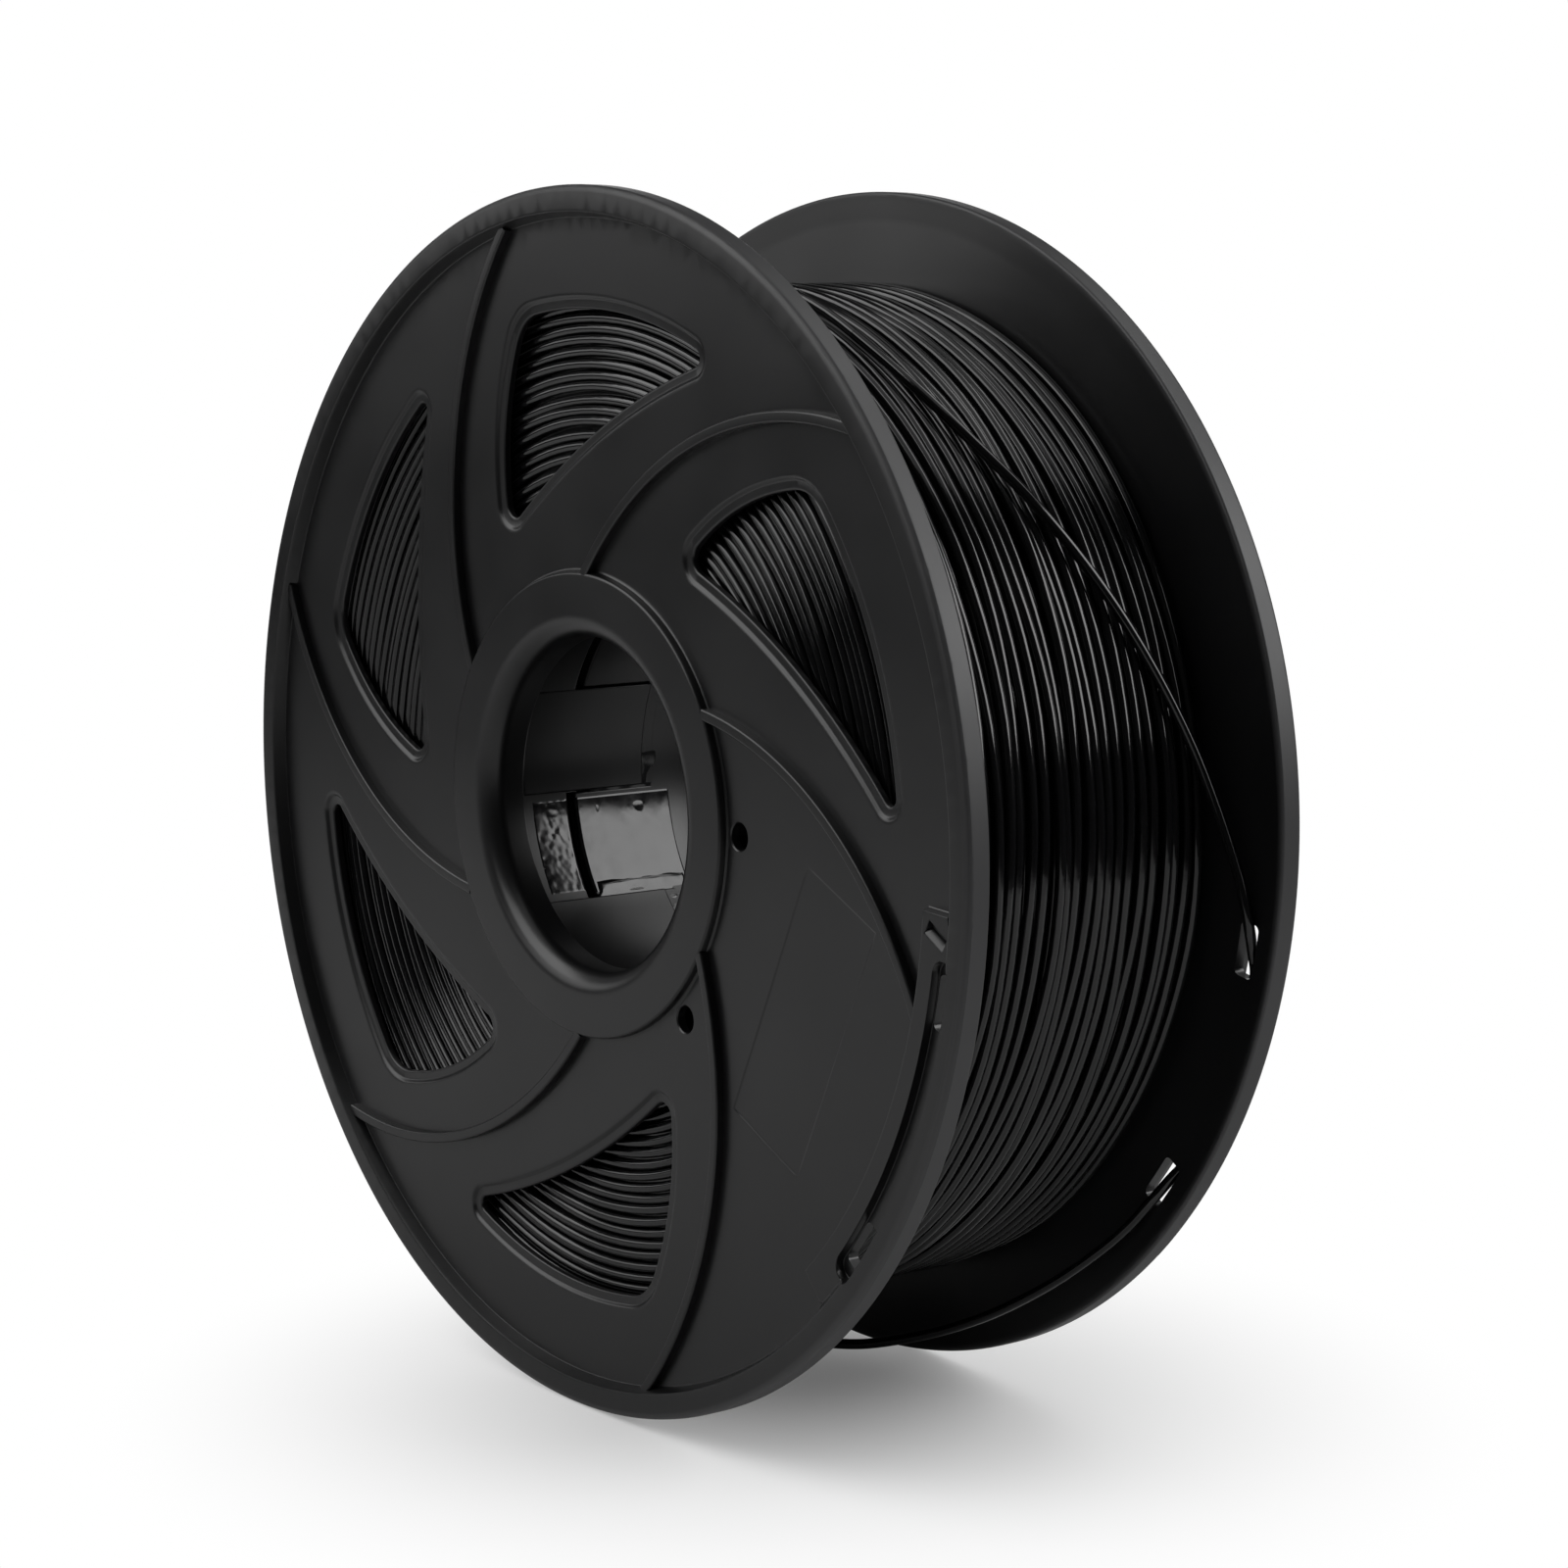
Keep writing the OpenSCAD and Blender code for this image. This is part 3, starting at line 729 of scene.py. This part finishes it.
def bake(name, tree, values, matrix=Matrix()):
    """Runs the tree with these input values and keeps the result as a plain mesh."""
    carrier = new_object(name, bpy.data.meshes.new(name))
    modifier = carrier.modifiers.new("nodes", "NODES")
    modifier.node_group = tree
    for label, value in values.items():
        modifier[tree.interface.items_tree[label].identifier] = value
    evaluated = carrier.evaluated_get(bpy.context.evaluated_depsgraph_get())
    mesh = bpy.data.meshes.new_from_object(evaluated)
    carrier.modifiers.clear()
    carrier.data = mesh
    mesh.transform(matrix)
    mesh.update()
    return carrier


def round_the_bore(tree, given, piece):
    """Count copies of the piece, Pitch apart, from the copy numbered First."""
    at = output(tree, "GeometryNodePoints", {"Count": given["Count"]})
    number = maths(tree, "ADD", output(tree, "GeometryNodeInputIndex"), given["First"])
    spin = add(tree, "ShaderNodeCombineXYZ", {"Z": maths(tree, "MULTIPLY", number, given["Pitch"])})
    return output(tree, "GeometryNodeInstanceOnPoints", {
        "Points": at, "Instance": piece, "Rotation": spin.outputs[0]})


# %% [markdown]
# The arc of the first rib is found from its two ends and the radius that it is
# bent to. The tree then makes five ribs of full length and one short one.

# %% Ribs
RIB_BEND_R, RIB_HUB_ANGLE, RIB_RIM_ANGLE = 72, 88, 41.6
# A rib's full height, the rounding of its edges, and the angle in radians by which
# it reaches into the hub ring and the rim
RIB_DEPTH, RIB_EDGE, RIB_BITE = 2.6, 0.35, 0.006
rib_a, rib_b = polar(DRUM_R, RIB_HUB_ANGLE), polar(RIM_R, RIB_RIM_ANGLE)
chord = rib_b - rib_a
chord_length = np.linalg.norm(chord)
rib_centre = (rib_a + rib_b) / 2 + np.array([chord[1], -chord[0]]) / chord_length * math.sqrt(
    RIB_BEND_R ** 2 - (chord_length / 2) ** 2)
bearing_a, bearing_b = (math.atan2(*(p - rib_centre)[::-1]) for p in (rib_a, rib_b))


def rib_tree():
    tree, given = start_tree("curved ribs", {
        "Count": 1, "First": 0, "Pitch": 0.0, "Bend radius": 0.0, "Start": 0.0, "Sweep": 0.0,
        "Centre": (0, 0, 0), "Width": 0.0, "Depth": 0.0, "Top at rim": 0.0,
        "Fall per metre": 0.0, "Rim radius": 0.0})
    arc = output(tree, "GeometryNodeCurveArc", {
        "Resolution": 48, "Radius": given["Bend radius"], "Start Angle": given["Start"],
        "Sweep Angle": given["Sweep"]})
    moved = output(tree, "GeometryNodeSetPosition", {"Geometry": arc, "Offset": given["Centre"]})
    place = output(tree, "GeometryNodeInputPosition")
    radius = add(tree, "ShaderNodeVectorMath", {0: place}, operation="LENGTH").outputs["Value"]
    inwards = maths(tree, "SUBTRACT", given["Rim radius"], radius)
    fall = maths(tree, "MULTIPLY", inwards, given["Fall per metre"])
    middle = maths(tree, "MULTIPLY_ADD", given["Depth"], -0.5, given["Top at rim"])
    height = maths(tree, "SUBTRACT", middle, fall)
    lift = output(tree, "ShaderNodeCombineXYZ", {"Z": height})
    dished = output(tree, "GeometryNodeSetPosition", {"Geometry": moved, "Offset": lift})
    upright = output(tree, "GeometryNodeSetCurveNormal", {"Curve": dished}, mode="Z_UP")
    section = output(tree, "GeometryNodeCurvePrimitiveQuadrilateral", {
        "Width": given["Width"], "Height": given["Depth"]})
    soft = output(tree, "GeometryNodeFilletCurve", {
        "Curve": section, "Radius": RIB_EDGE * MM, "Count": 4}, mode="POLY")
    rib = output(tree, "GeometryNodeCurveToMesh", {
        "Curve": upright, "Profile Curve": soft, "Fill Caps": True})
    end_tree(tree, round_the_bore(tree, given, rib), spool_plastic)
    return tree


curved_ribs = rib_tree()
RIB_SIZES = {
    "Pitch": math.tau / SECTORS, "Bend radius": RIB_BEND_R * MM, "Centre": (*rib_centre * MM, 0),
    "Width": RIB_W * MM, "Depth": RIB_DEPTH * MM, "Top at rim": (RIB_Z - 0.02) * MM,
    "Fall per metre": DISH / (RIM_R - DRUM_R), "Rim radius": RIM_R * MM}
hub_end = bearing_a + RIB_BITE
# The last rib stops at the pad beside the parking groove
pad_end = min((b for b in np.linspace(bearing_b, bearing_a, 200)
               if np.linalg.norm(rib_centre + polar(RIB_BEND_R, math.degrees(b))) < PAD_R + 0.8))
for half, matrix, node in HALVES:
    for name, count, first, rim_end in (("_ribs", SECTORS - 1, 0, bearing_b - RIB_BITE),
                                        ("_short_rib", 1, SECTORS - 1, pad_end)):
        ribs = bake(half + name, curved_ribs, {
            **RIB_SIZES, "Count": count, "First": first, "Start": rim_end,
            "Sweep": hub_end - rim_end}, matrix)
        even_shading(ribs)
        dress(ribs, node)

# %% [markdown]
# The drum is split like a crown. Each half ends in six tongues that reach
# between the tongues of the other half, and solvent glue holds them. A tongue
# is a box that is bent onto the drum, so its points can be moved by a rule:
# along the box becomes an angle, across it a radius. Six instances make the
# crown, and a bevel breaks the edges of the baked mesh.

# %% Tongues
SIDE_GAP = 0.3
tongue_span = math.pi / TONGUES - SIDE_GAP / DRUM_R


def tongue_tree():
    tree, given = start_tree("drum tongues", {
        "Count": TONGUES, "First": 0, "Pitch": 0.0, "First angle": 0.0, "Span": 0.0,
        "Inner radius": 0.0, "Wall": 0.0, "Bottom": 0.0, "Top": 0.0})
    box = output(tree, "GeometryNodeMeshCube", {
        "Size": (1, 1, 1), "Vertices X": 17, "Vertices Y": 2, "Vertices Z": 9})
    here = output(tree, "GeometryNodeInputPosition")
    part = add(tree, "ShaderNodeSeparateXYZ", {0: here}).outputs
    angle = maths(tree, "MULTIPLY_ADD", part["X"], given["Span"], given["First angle"])
    across = maths(tree, "ADD", part["Y"], 0.5)
    radius = maths(tree, "MULTIPLY_ADD", across, given["Wall"], given["Inner radius"])
    length = maths(tree, "SUBTRACT", given["Top"], given["Bottom"])
    up = maths(tree, "ADD", part["Z"], 0.5)
    height = maths(tree, "MULTIPLY_ADD", up, length, given["Bottom"])
    place = output(tree, "ShaderNodeCombineXYZ", {
        "X": maths(tree, "MULTIPLY", radius, maths(tree, "COSINE", angle)),
        "Y": maths(tree, "MULTIPLY", radius, maths(tree, "SINE", angle)), "Z": height})
    tongue = output(tree, "GeometryNodeSetPosition", {"Geometry": box, "Position": place})
    end_tree(tree, round_the_bore(tree, given, tongue), spool_plastic)
    return tree


drum_tongues = tongue_tree()
first_tongue = math.radians(TURN_ANGLE + 1.25 * 360 / TONGUES)
# The glue has filled the short gaps at the ends of the front half's tongues. A small
# step parts these tongues from the root of the drum, up to the seam's end
TONGUE_STEP, SEAM_Z, OVERLAP = 0.2, ROOT_Z + 9, 0.8
for name, matrix, node, bottom, top, inner in (
        ("front_tongues", FRONT, "front_half_spool", -TONGUE_REACH, SEAM_Z, DRUM_IN - TONGUE_STEP),
        ("rear_tongues", REAR, "rear_half_spool", -TONGUE_REACH, ROOT_Z + 0.6, DRUM_IN),
        ("glue_in_joint", FRONT, "front_half_spool", -ROOT_Z - OVERLAP, -TONGUE_REACH + OVERLAP,
         DRUM_IN - 0.01)):
    crown = bake(name, drum_tongues, {
        "Count": TONGUES, "Pitch": math.tau / TONGUES, "First angle": first_tongue,
        "Span": tongue_span, "Inner radius": inner * MM, "Wall": (DRUM_R - inner) * MM,
        "Bottom": bottom * MM, "Top": top * MM}, matrix)
    bevel = crown.modifiers.new("broken_edges", "BEVEL")
    bevel.width, bevel.segments, bevel.limit_method = 0.3 * MM, 3, "ANGLE"
    even_shading(crown)
    dress(crown, node)

# %% [markdown]
# Solvent glue was brushed over the joint from inside, and it ran. Dried, it is
# a clear film on black plastic, much glossier and smoother than the moulding. A
# smear is a thin shell on the drum's inner wall: noise lifts it out of the wall
# here and lets it sink in there, so its outline is uneven, as a run of glue is.
# Wavy beads lie along the seams, where the brush left most.

# %% Dried glue
glue = smooth_plastic("dried_solvent_glue_gloss", "#161617", 3, (0.08, 0.2), 0.02)
# In mm: how deep the skin lies in the wall where no glue is, the shell's thickness
# and the grid's step
GLUE_SINK, GLUE_SHELL, GLUE_GRID = 0.12, 0.3, 0.3
RADIAN = 57.3


def smear(name, start, end, bottom, top, lift, cover, lump, edge, seed):
    """A glue film on the inner wall, between two angles in degrees and two values of Y.

    Its height is lift times the sum of cover and noise with lumps of so many mm. It
    thins out over the edge.
    """
    around = (end - start) * DRUM_IN / RADIAN
    columns = max(12, int(around / GLUE_GRID))
    rows_up = max(12, int((top - bottom) / GLUE_GRID))
    points = []
    for back in (False, True):
        for i in range(columns + 1):
            for k in range(rows_up + 1):
                u, v = i / columns, k / rows_up
                angle, y = start + (end - start) * u, bottom + (top - bottom) * v
                fade = min(1, min(u, 1 - u) * around / edge, min(v, 1 - v) * (top - bottom) / edge)
                height = -GLUE_SINK
                if fade > 0 and not back:
                    wave = noise_at(Vector((angle / RADIAN * DRUM_IN / lump, y / lump, seed)))
                    height = max(height, lift * (cover + wave) * fade - GLUE_SINK * (1 - fade))
                points.append(on_spool(angle, DRUM_IN - height + GLUE_SHELL * back, y) / MM)
    grid = (columns + 1) * (rows_up + 1)
    faces, rim = [], {}
    for i in range(columns):
        for k in range(rows_up):
            a = i * (rows_up + 1) + k
            quad = (a, a + 1, a + rows_up + 2, a + rows_up + 1)
            faces += [quad, tuple(q + grid for q in quad[::-1])]
            for p, q in zip(quad, quad[1:] + quad[:1]):
                if rim.pop((q, p), None) is None:
                    rim[(p, q)] = True
    faces += [(q, p, p + grid, q + grid) for p, q in rim]
    return dress(mesh_object(name, points, faces, glue, sharp=60), "front_half_spool")


# Seams of the joint as the bore shows them, in degrees and in Y
for number, values in enumerate((  # start, end, bottom, top, lift, cover, lump, edge
        (186.9, 214.9, -7.3, 13, 0.05, 0.9, 7, 0.3),       # the film on the tongue in the middle
        (210.5, 216, -6.9, 13, 0.24, 0.4, 3.6, 1.0),       # the bead along its lower seam
        (188, 200, -4, 11, 0.12, 0.05, 2.2, 1.0),          # drips on its upper part
        (175, 186.5, -4, 11, 0.14, 0.1, 2.6, 1.0),         # a run on the tongue above it
        (217, 226, 2, 11, 0.2, 0, 2, 0.8),                 # drops on the tongue below
        (187, 214, -16.5, -8.95, 0.03, 0.75, 0.9, 0.3))):  # what was wiped onto the drum's root
    smear("glue_smear_%d" % (number + 1), *values, seed=number * 7.3)

# %% [markdown]
# A winding is one strand, thousands of turns long. Only its skin is seen: the
# outer layer, a little of the layer below through its gaps, and the edges of
# all layers through the windows. One tree makes all of them as long spirals. A
# point's number gives its turn, the turn gives angle, radius and Y, and noise
# pushes it along the drum and outwards, so that turns part, touch and climb on
# each other as on a machine-wound spool.

# %% Strand tree


def strand_tree():
    tree, given = start_tree("wound strand", {
        "Turns": 1.0, "Rings per turn": 120, "Start angle": 0.0, "Start radius": 0.0,
        "End radius": 0.0, "Start Y": 0.0, "End Y": 0.0, "Wander along": 0.0,
        "Wander outwards": 0.0, "Restless": 1.0, "Turn apart": 1.0, "Seed": 0.0,
        "Strand radius": 0.0, "Sides": 8})
    steps = maths(tree, "FLOOR", maths(tree, "MULTIPLY", given["Turns"], given["Rings per turn"]))
    line = output(tree, "GeometryNodeCurvePrimitiveLine")
    points = output(tree, "GeometryNodeResampleCurve", {
        "Curve": line, "Count": maths(tree, "ADD", steps, 1)})
    share = maths(tree, "DIVIDE", output(tree, "GeometryNodeInputIndex"), steps)
    turn = maths(tree, "MULTIPLY", share, given["Turns"])
    angle = maths(tree, "MULTIPLY_ADD", turn, -2 * math.pi, given["Start angle"])
    cos, sin = maths(tree, "COSINE", angle), maths(tree, "SINE", angle)

    def between(a, b):
        return maths(tree, "MULTIPLY_ADD", maths(tree, "SUBTRACT", given[b], given[a]), share, given[a])

    def wander(amount, shift):
        where = add(tree, "ShaderNodeCombineXYZ", {
            "X": maths(tree, "MULTIPLY", cos, given["Restless"]),
            "Y": maths(tree, "MULTIPLY", sin, given["Restless"]),
            "Z": maths(tree, "MULTIPLY_ADD", turn, given["Turn apart"],
                       maths(tree, "ADD", given["Seed"], shift))})
        value = add(tree, "ShaderNodeTexNoise", {"Vector": where.outputs[0], "Scale": 1.0,
                                                 "Detail": 1.0}).outputs["Fac"]
        return maths(tree, "MULTIPLY", maths(tree, "SUBTRACT", value, 0.5), given[amount])

    radius = maths(tree, "ADD", between("Start radius", "End radius"), wander("Wander outwards", 50))
    y = maths(tree, "ADD", between("Start Y", "End Y"), wander("Wander along", 0))
    place = output(tree, "ShaderNodeCombineXYZ", {
        "X": maths(tree, "MULTIPLY", radius, cos), "Y": y,
        "Z": maths(tree, "MULTIPLY", radius, sin)})
    path = output(tree, "GeometryNodeSetPosition", {"Geometry": points, "Position": place})
    section = output(tree, "GeometryNodeCurvePrimitiveCircle", {
        "Resolution": given["Sides"], "Radius": given["Strand radius"]})
    strand = output(tree, "GeometryNodeCurveToMesh", {
        "Curve": path, "Profile Curve": section, "Fill Caps": True})
    smooth = output(tree, "GeometryNodeSetShadeSmooth", {"Geometry": strand})
    end_tree(tree, smooth, strand_plastic)
    return tree


wound_strand = strand_tree()
print("tree", wound_strand.name, "has", len(wound_strand.nodes), "nodes")

# %% [markdown]
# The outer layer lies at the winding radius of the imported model, and its
# outermost turns lie against the dished flanges. The layer below runs back
# the other way, so its turns cross under the gaps. The last turn leaves the
# end of the outer layer, climbs on top of it and runs to the parked end, so
# that the strand is whole.

# %% Outer layers
STRAND_R = STRAND_D / 2 / MM
WINDING_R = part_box("filament_outer_turns")[1].x / MM
TURN_R = WINDING_R - STRAND_R
FLANGE_GAP = 0.4
EDGE_Y = BACK_Z - sunk(WINDING_R) - FLANGE_GAP - STRAND_R
TAIL_START, OVER_R, TAIL_Y = TAIL_ROUTE[0]
LAST_TURN, CLIMB = 270, 30
SIDES = 10


def wind(name, node, **values):
    sizes = {"Rings per turn": 132, "Restless": 1.3, "Turn apart": 0.7,
             "Strand radius": STRAND_R * MM, "Sides": SIDES}
    return dress(bake(name, wound_strand, {**sizes, **values}), node)


outer_layer = wind("outer_turns", "filament_outer_turns", **{
    "Turns": 24.65, "Start angle": math.radians(TAIL_START) + math.tau * 25.4, "Seed": 3.0,
    "Start radius": TURN_R * MM, "End radius": TURN_R * MM,
    "Start Y": EDGE_Y * MM, "End Y": -EDGE_Y * MM,
    "Wander along": 4.6 * MM, "Wander outwards": 1.4 * MM})
last_ring = np.mean([v.co for v in outer_layer.data.vertices[-SIDES:]], 0) / MM
from_r, from_y = math.hypot(last_ring[0], last_ring[2]), last_ring[1]
last_turn = []
for done in np.linspace(0, LAST_TURN, 110):
    up, across = (t * t * (3 - 2 * t) for t in np.clip(
        [done / CLIMB, (done - CLIMB) / (LAST_TURN - CLIMB)], 0, 1))
    last_turn.append(on_spool(TAIL_START + LAST_TURN - done, from_r + (OVER_R - from_r) * up,
                              from_y + (TAIL_Y - from_y) * across))
dress(strand_along("last_turn", last_turn), "filament_outer_turns")
print("the last turn starts", round(np.linalg.norm(last_turn[0] / MM - last_ring), 2),
      "mm from the end of the layer")
BELOW_R = TURN_R - 2 * STRAND_R
wind("turns_below", "filament_core", **{
    "Turns": 27.0, "Start angle": 1.0, "Seed": 11.0, "Rings per turn": 100, "Sides": 8,
    "Start radius": BELOW_R * MM, "End radius": BELOW_R * MM,
    "Start Y": -EDGE_Y * MM, "End Y": EDGE_Y * MM,
    "Wander along": 4.0 * MM, "Wander outwards": 0.6 * MM})

# %% [markdown]
# Through the windows the edges of the layers show, one arc above the other.
# There the spiral runs outwards instead of along the drum, and it follows the
# dish of the panel. A plain dark body fills the inside of the winding, which
# nobody sees.

# %% Edges of the layers and the body inside
EDGE_FROM_R, EDGE_TO_R, EDGE_GAP = 42.0, 83.0, 1.7
for side, name in ((-1, "front_edge_turns"), (1, "rear_edge_turns")):
    wind(name, "filament_core", **{
        "Turns": 22.0, "Start angle": 2.0 + side, "Seed": 20.0 + side, "Sides": 8,
        "Start radius": EDGE_FROM_R * MM, "End radius": EDGE_TO_R * MM,
        "Start Y": side * (BACK_Z - sunk(EDGE_FROM_R) - EDGE_GAP) * MM,
        "End Y": side * (BACK_Z - sunk(EDGE_TO_R) - EDGE_GAP) * MM,
        "Wander along": 1.5 * MM, "Wander outwards": 1.2 * MM})
# This profile runs the other way round, so its faces are turned
core_profile = [(DRUM_R + 0.3, -25), (DRUM_R + 0.3, 25), (41, 26), (81.5, 26.4), (82, 25.5),
                (82, -25.5), (81.5, -26.4), (41, -26)]
points, faces = spun(core_profile, 120)
dress(mesh_object("winding_body", points, [f[::-1] for f in faces], strand_plastic, FRONT),
      "filament_core")

# %% [markdown]
# The spool stands on a round pale table in a dark room. A black object needs
# dark surroundings to show its form, because only the lamps and the table then
# draw highlights on it. Camera rays see the room as plain white, and the table
# as white further out, so that the background is even and only the soft shadow
# near the spool is left. Reflections see the table as grey, so that it does not
# wash out the black plastic.

# %% Floor and world
FLOOR_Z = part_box("front_half_spool")[0].z
TABLE_R, TABLE_AT = 0.60, (-0.12, -0.10)
# The shadow is gone at this distance from its middle, where some white is mixed in
SHADOW_AT, SHADOW_FAR, SHADOW_WHITE = Vector((0.02, 0, FLOOR_Z)), 0.12, 0.1


def light_path(tree):
    """The light path, and whether the ray comes from the camera, also through glass."""
    path = add(tree, "ShaderNodeLightPath").outputs
    return path, maths(tree, "MAXIMUM", path["Is Camera Ray"], path["Is Transmission Ray"])


def shadow_table():
    material, tree = empty_material("white_studio_table")
    path, seen = light_path(tree)
    grey = mixed(tree, path["Is Glossy Ray"], "#f4f4f4", "#d2d2d2")
    card = output(tree, "ShaderNodeBsdfDiffuse", {"Color": grey})
    white = output(tree, "ShaderNodeEmission", {"Strength": 1.0})
    where = add(tree, "ShaderNodeTexCoord").outputs["Object"]
    away = add(tree, "ShaderNodeVectorMath", {0: where, 1: SHADOW_AT}, operation="DISTANCE")
    fade = add(tree, "ShaderNodeMapRange", {
        "Value": away.outputs["Value"], "From Max": SHADOW_FAR, "To Min": SHADOW_WHITE},
        interpolation_type="SMOOTHSTEP").outputs["Result"]
    both = add(tree, "ShaderNodeMixShader", {0: maths(tree, "MULTIPLY", fade, seen), 1: card, 2: white})
    add(tree, "ShaderNodeOutputMaterial", {"Surface": both.outputs[0]})
    return material


edge = polar(TABLE_R, np.linspace(0, 360, 96, endpoint=False)) + TABLE_AT
floor_mesh = bpy.data.meshes.new("floor")
floor_mesh.from_pydata([(x, y, FLOOR_Z) for x, y in edge], [], [list(range(len(edge)))])
floor_mesh.materials.append(shadow_table())
floor = new_object("floor", floor_mesh)

ROOM = 0.03
world = bpy.data.worlds.new("studio")
world.use_nodes = True
tree = world.node_tree
tree.nodes.clear()
_, seen = light_path(tree)
strength = output(tree, "ShaderNodeMapRange", {"Value": seen, "To Min": ROOM})
sky = add(tree, "ShaderNodeBackground", {"Color": (1, 1, 1, 1), "Strength": strength})
add(tree, "ShaderNodeOutputWorld", {"Surface": sky.outputs[0]})
bpy.context.scene.world = world
bpy.context.scene.view_settings.view_transform = "Standard"
print("table of", TABLE_R, "m, room light", ROOM)

# %% [markdown]
# Softboxes give the light. Each is set by where it stands, how large it looks
# and how bright its cloth is, where 1 is as bright as white paper. The left one
# lights the face of the front flange, with a weaker fill below it. The right
# one stands behind the spool: its sharp lower edge is what ends the highlights
# on the winding. The top one lights the table, and the two small ones at the
# back draw the bright lines further up on the winding and on the rims.

# %% Lights
LAMP_DISTANCE = 1.2


def softbox(name, azimuth, elevation, width, height, brightness):
    """A lamp of width by height metres that faces the spool, with its place in degrees."""
    data = bpy.data.lights.new(name, "AREA")
    data.shape, data.size, data.size_y = "RECTANGLE", width, height
    data.energy = brightness * math.pi * width * height
    lamp = new_object(name, data)
    away = direction(azimuth, elevation)
    lamp.location = away * LAMP_DISTANCE
    lamp.rotation_mode = "QUATERNION"
    lamp.rotation_quaternion = away.to_track_quat("Z", "Y")
    print(name, round(data.energy, 1), "W")


softbox("left_softbox", -30, 43, 1.3, 0.85, 2.6)
softbox("fill_softbox", -50, 13, 0.8, 0.35, 1.3)
softbox("right_softbox", 128, 28, 0.95, 0.75, 4.4)
softbox("top_softbox", 0, 88, 1.2, 1.2, 0.5)
softbox("upper_softbox", 162, 57, 0.9, 0.4, 2.0)
softbox("back_softbox", 235, 17, 1.0, 0.25, 2.2)
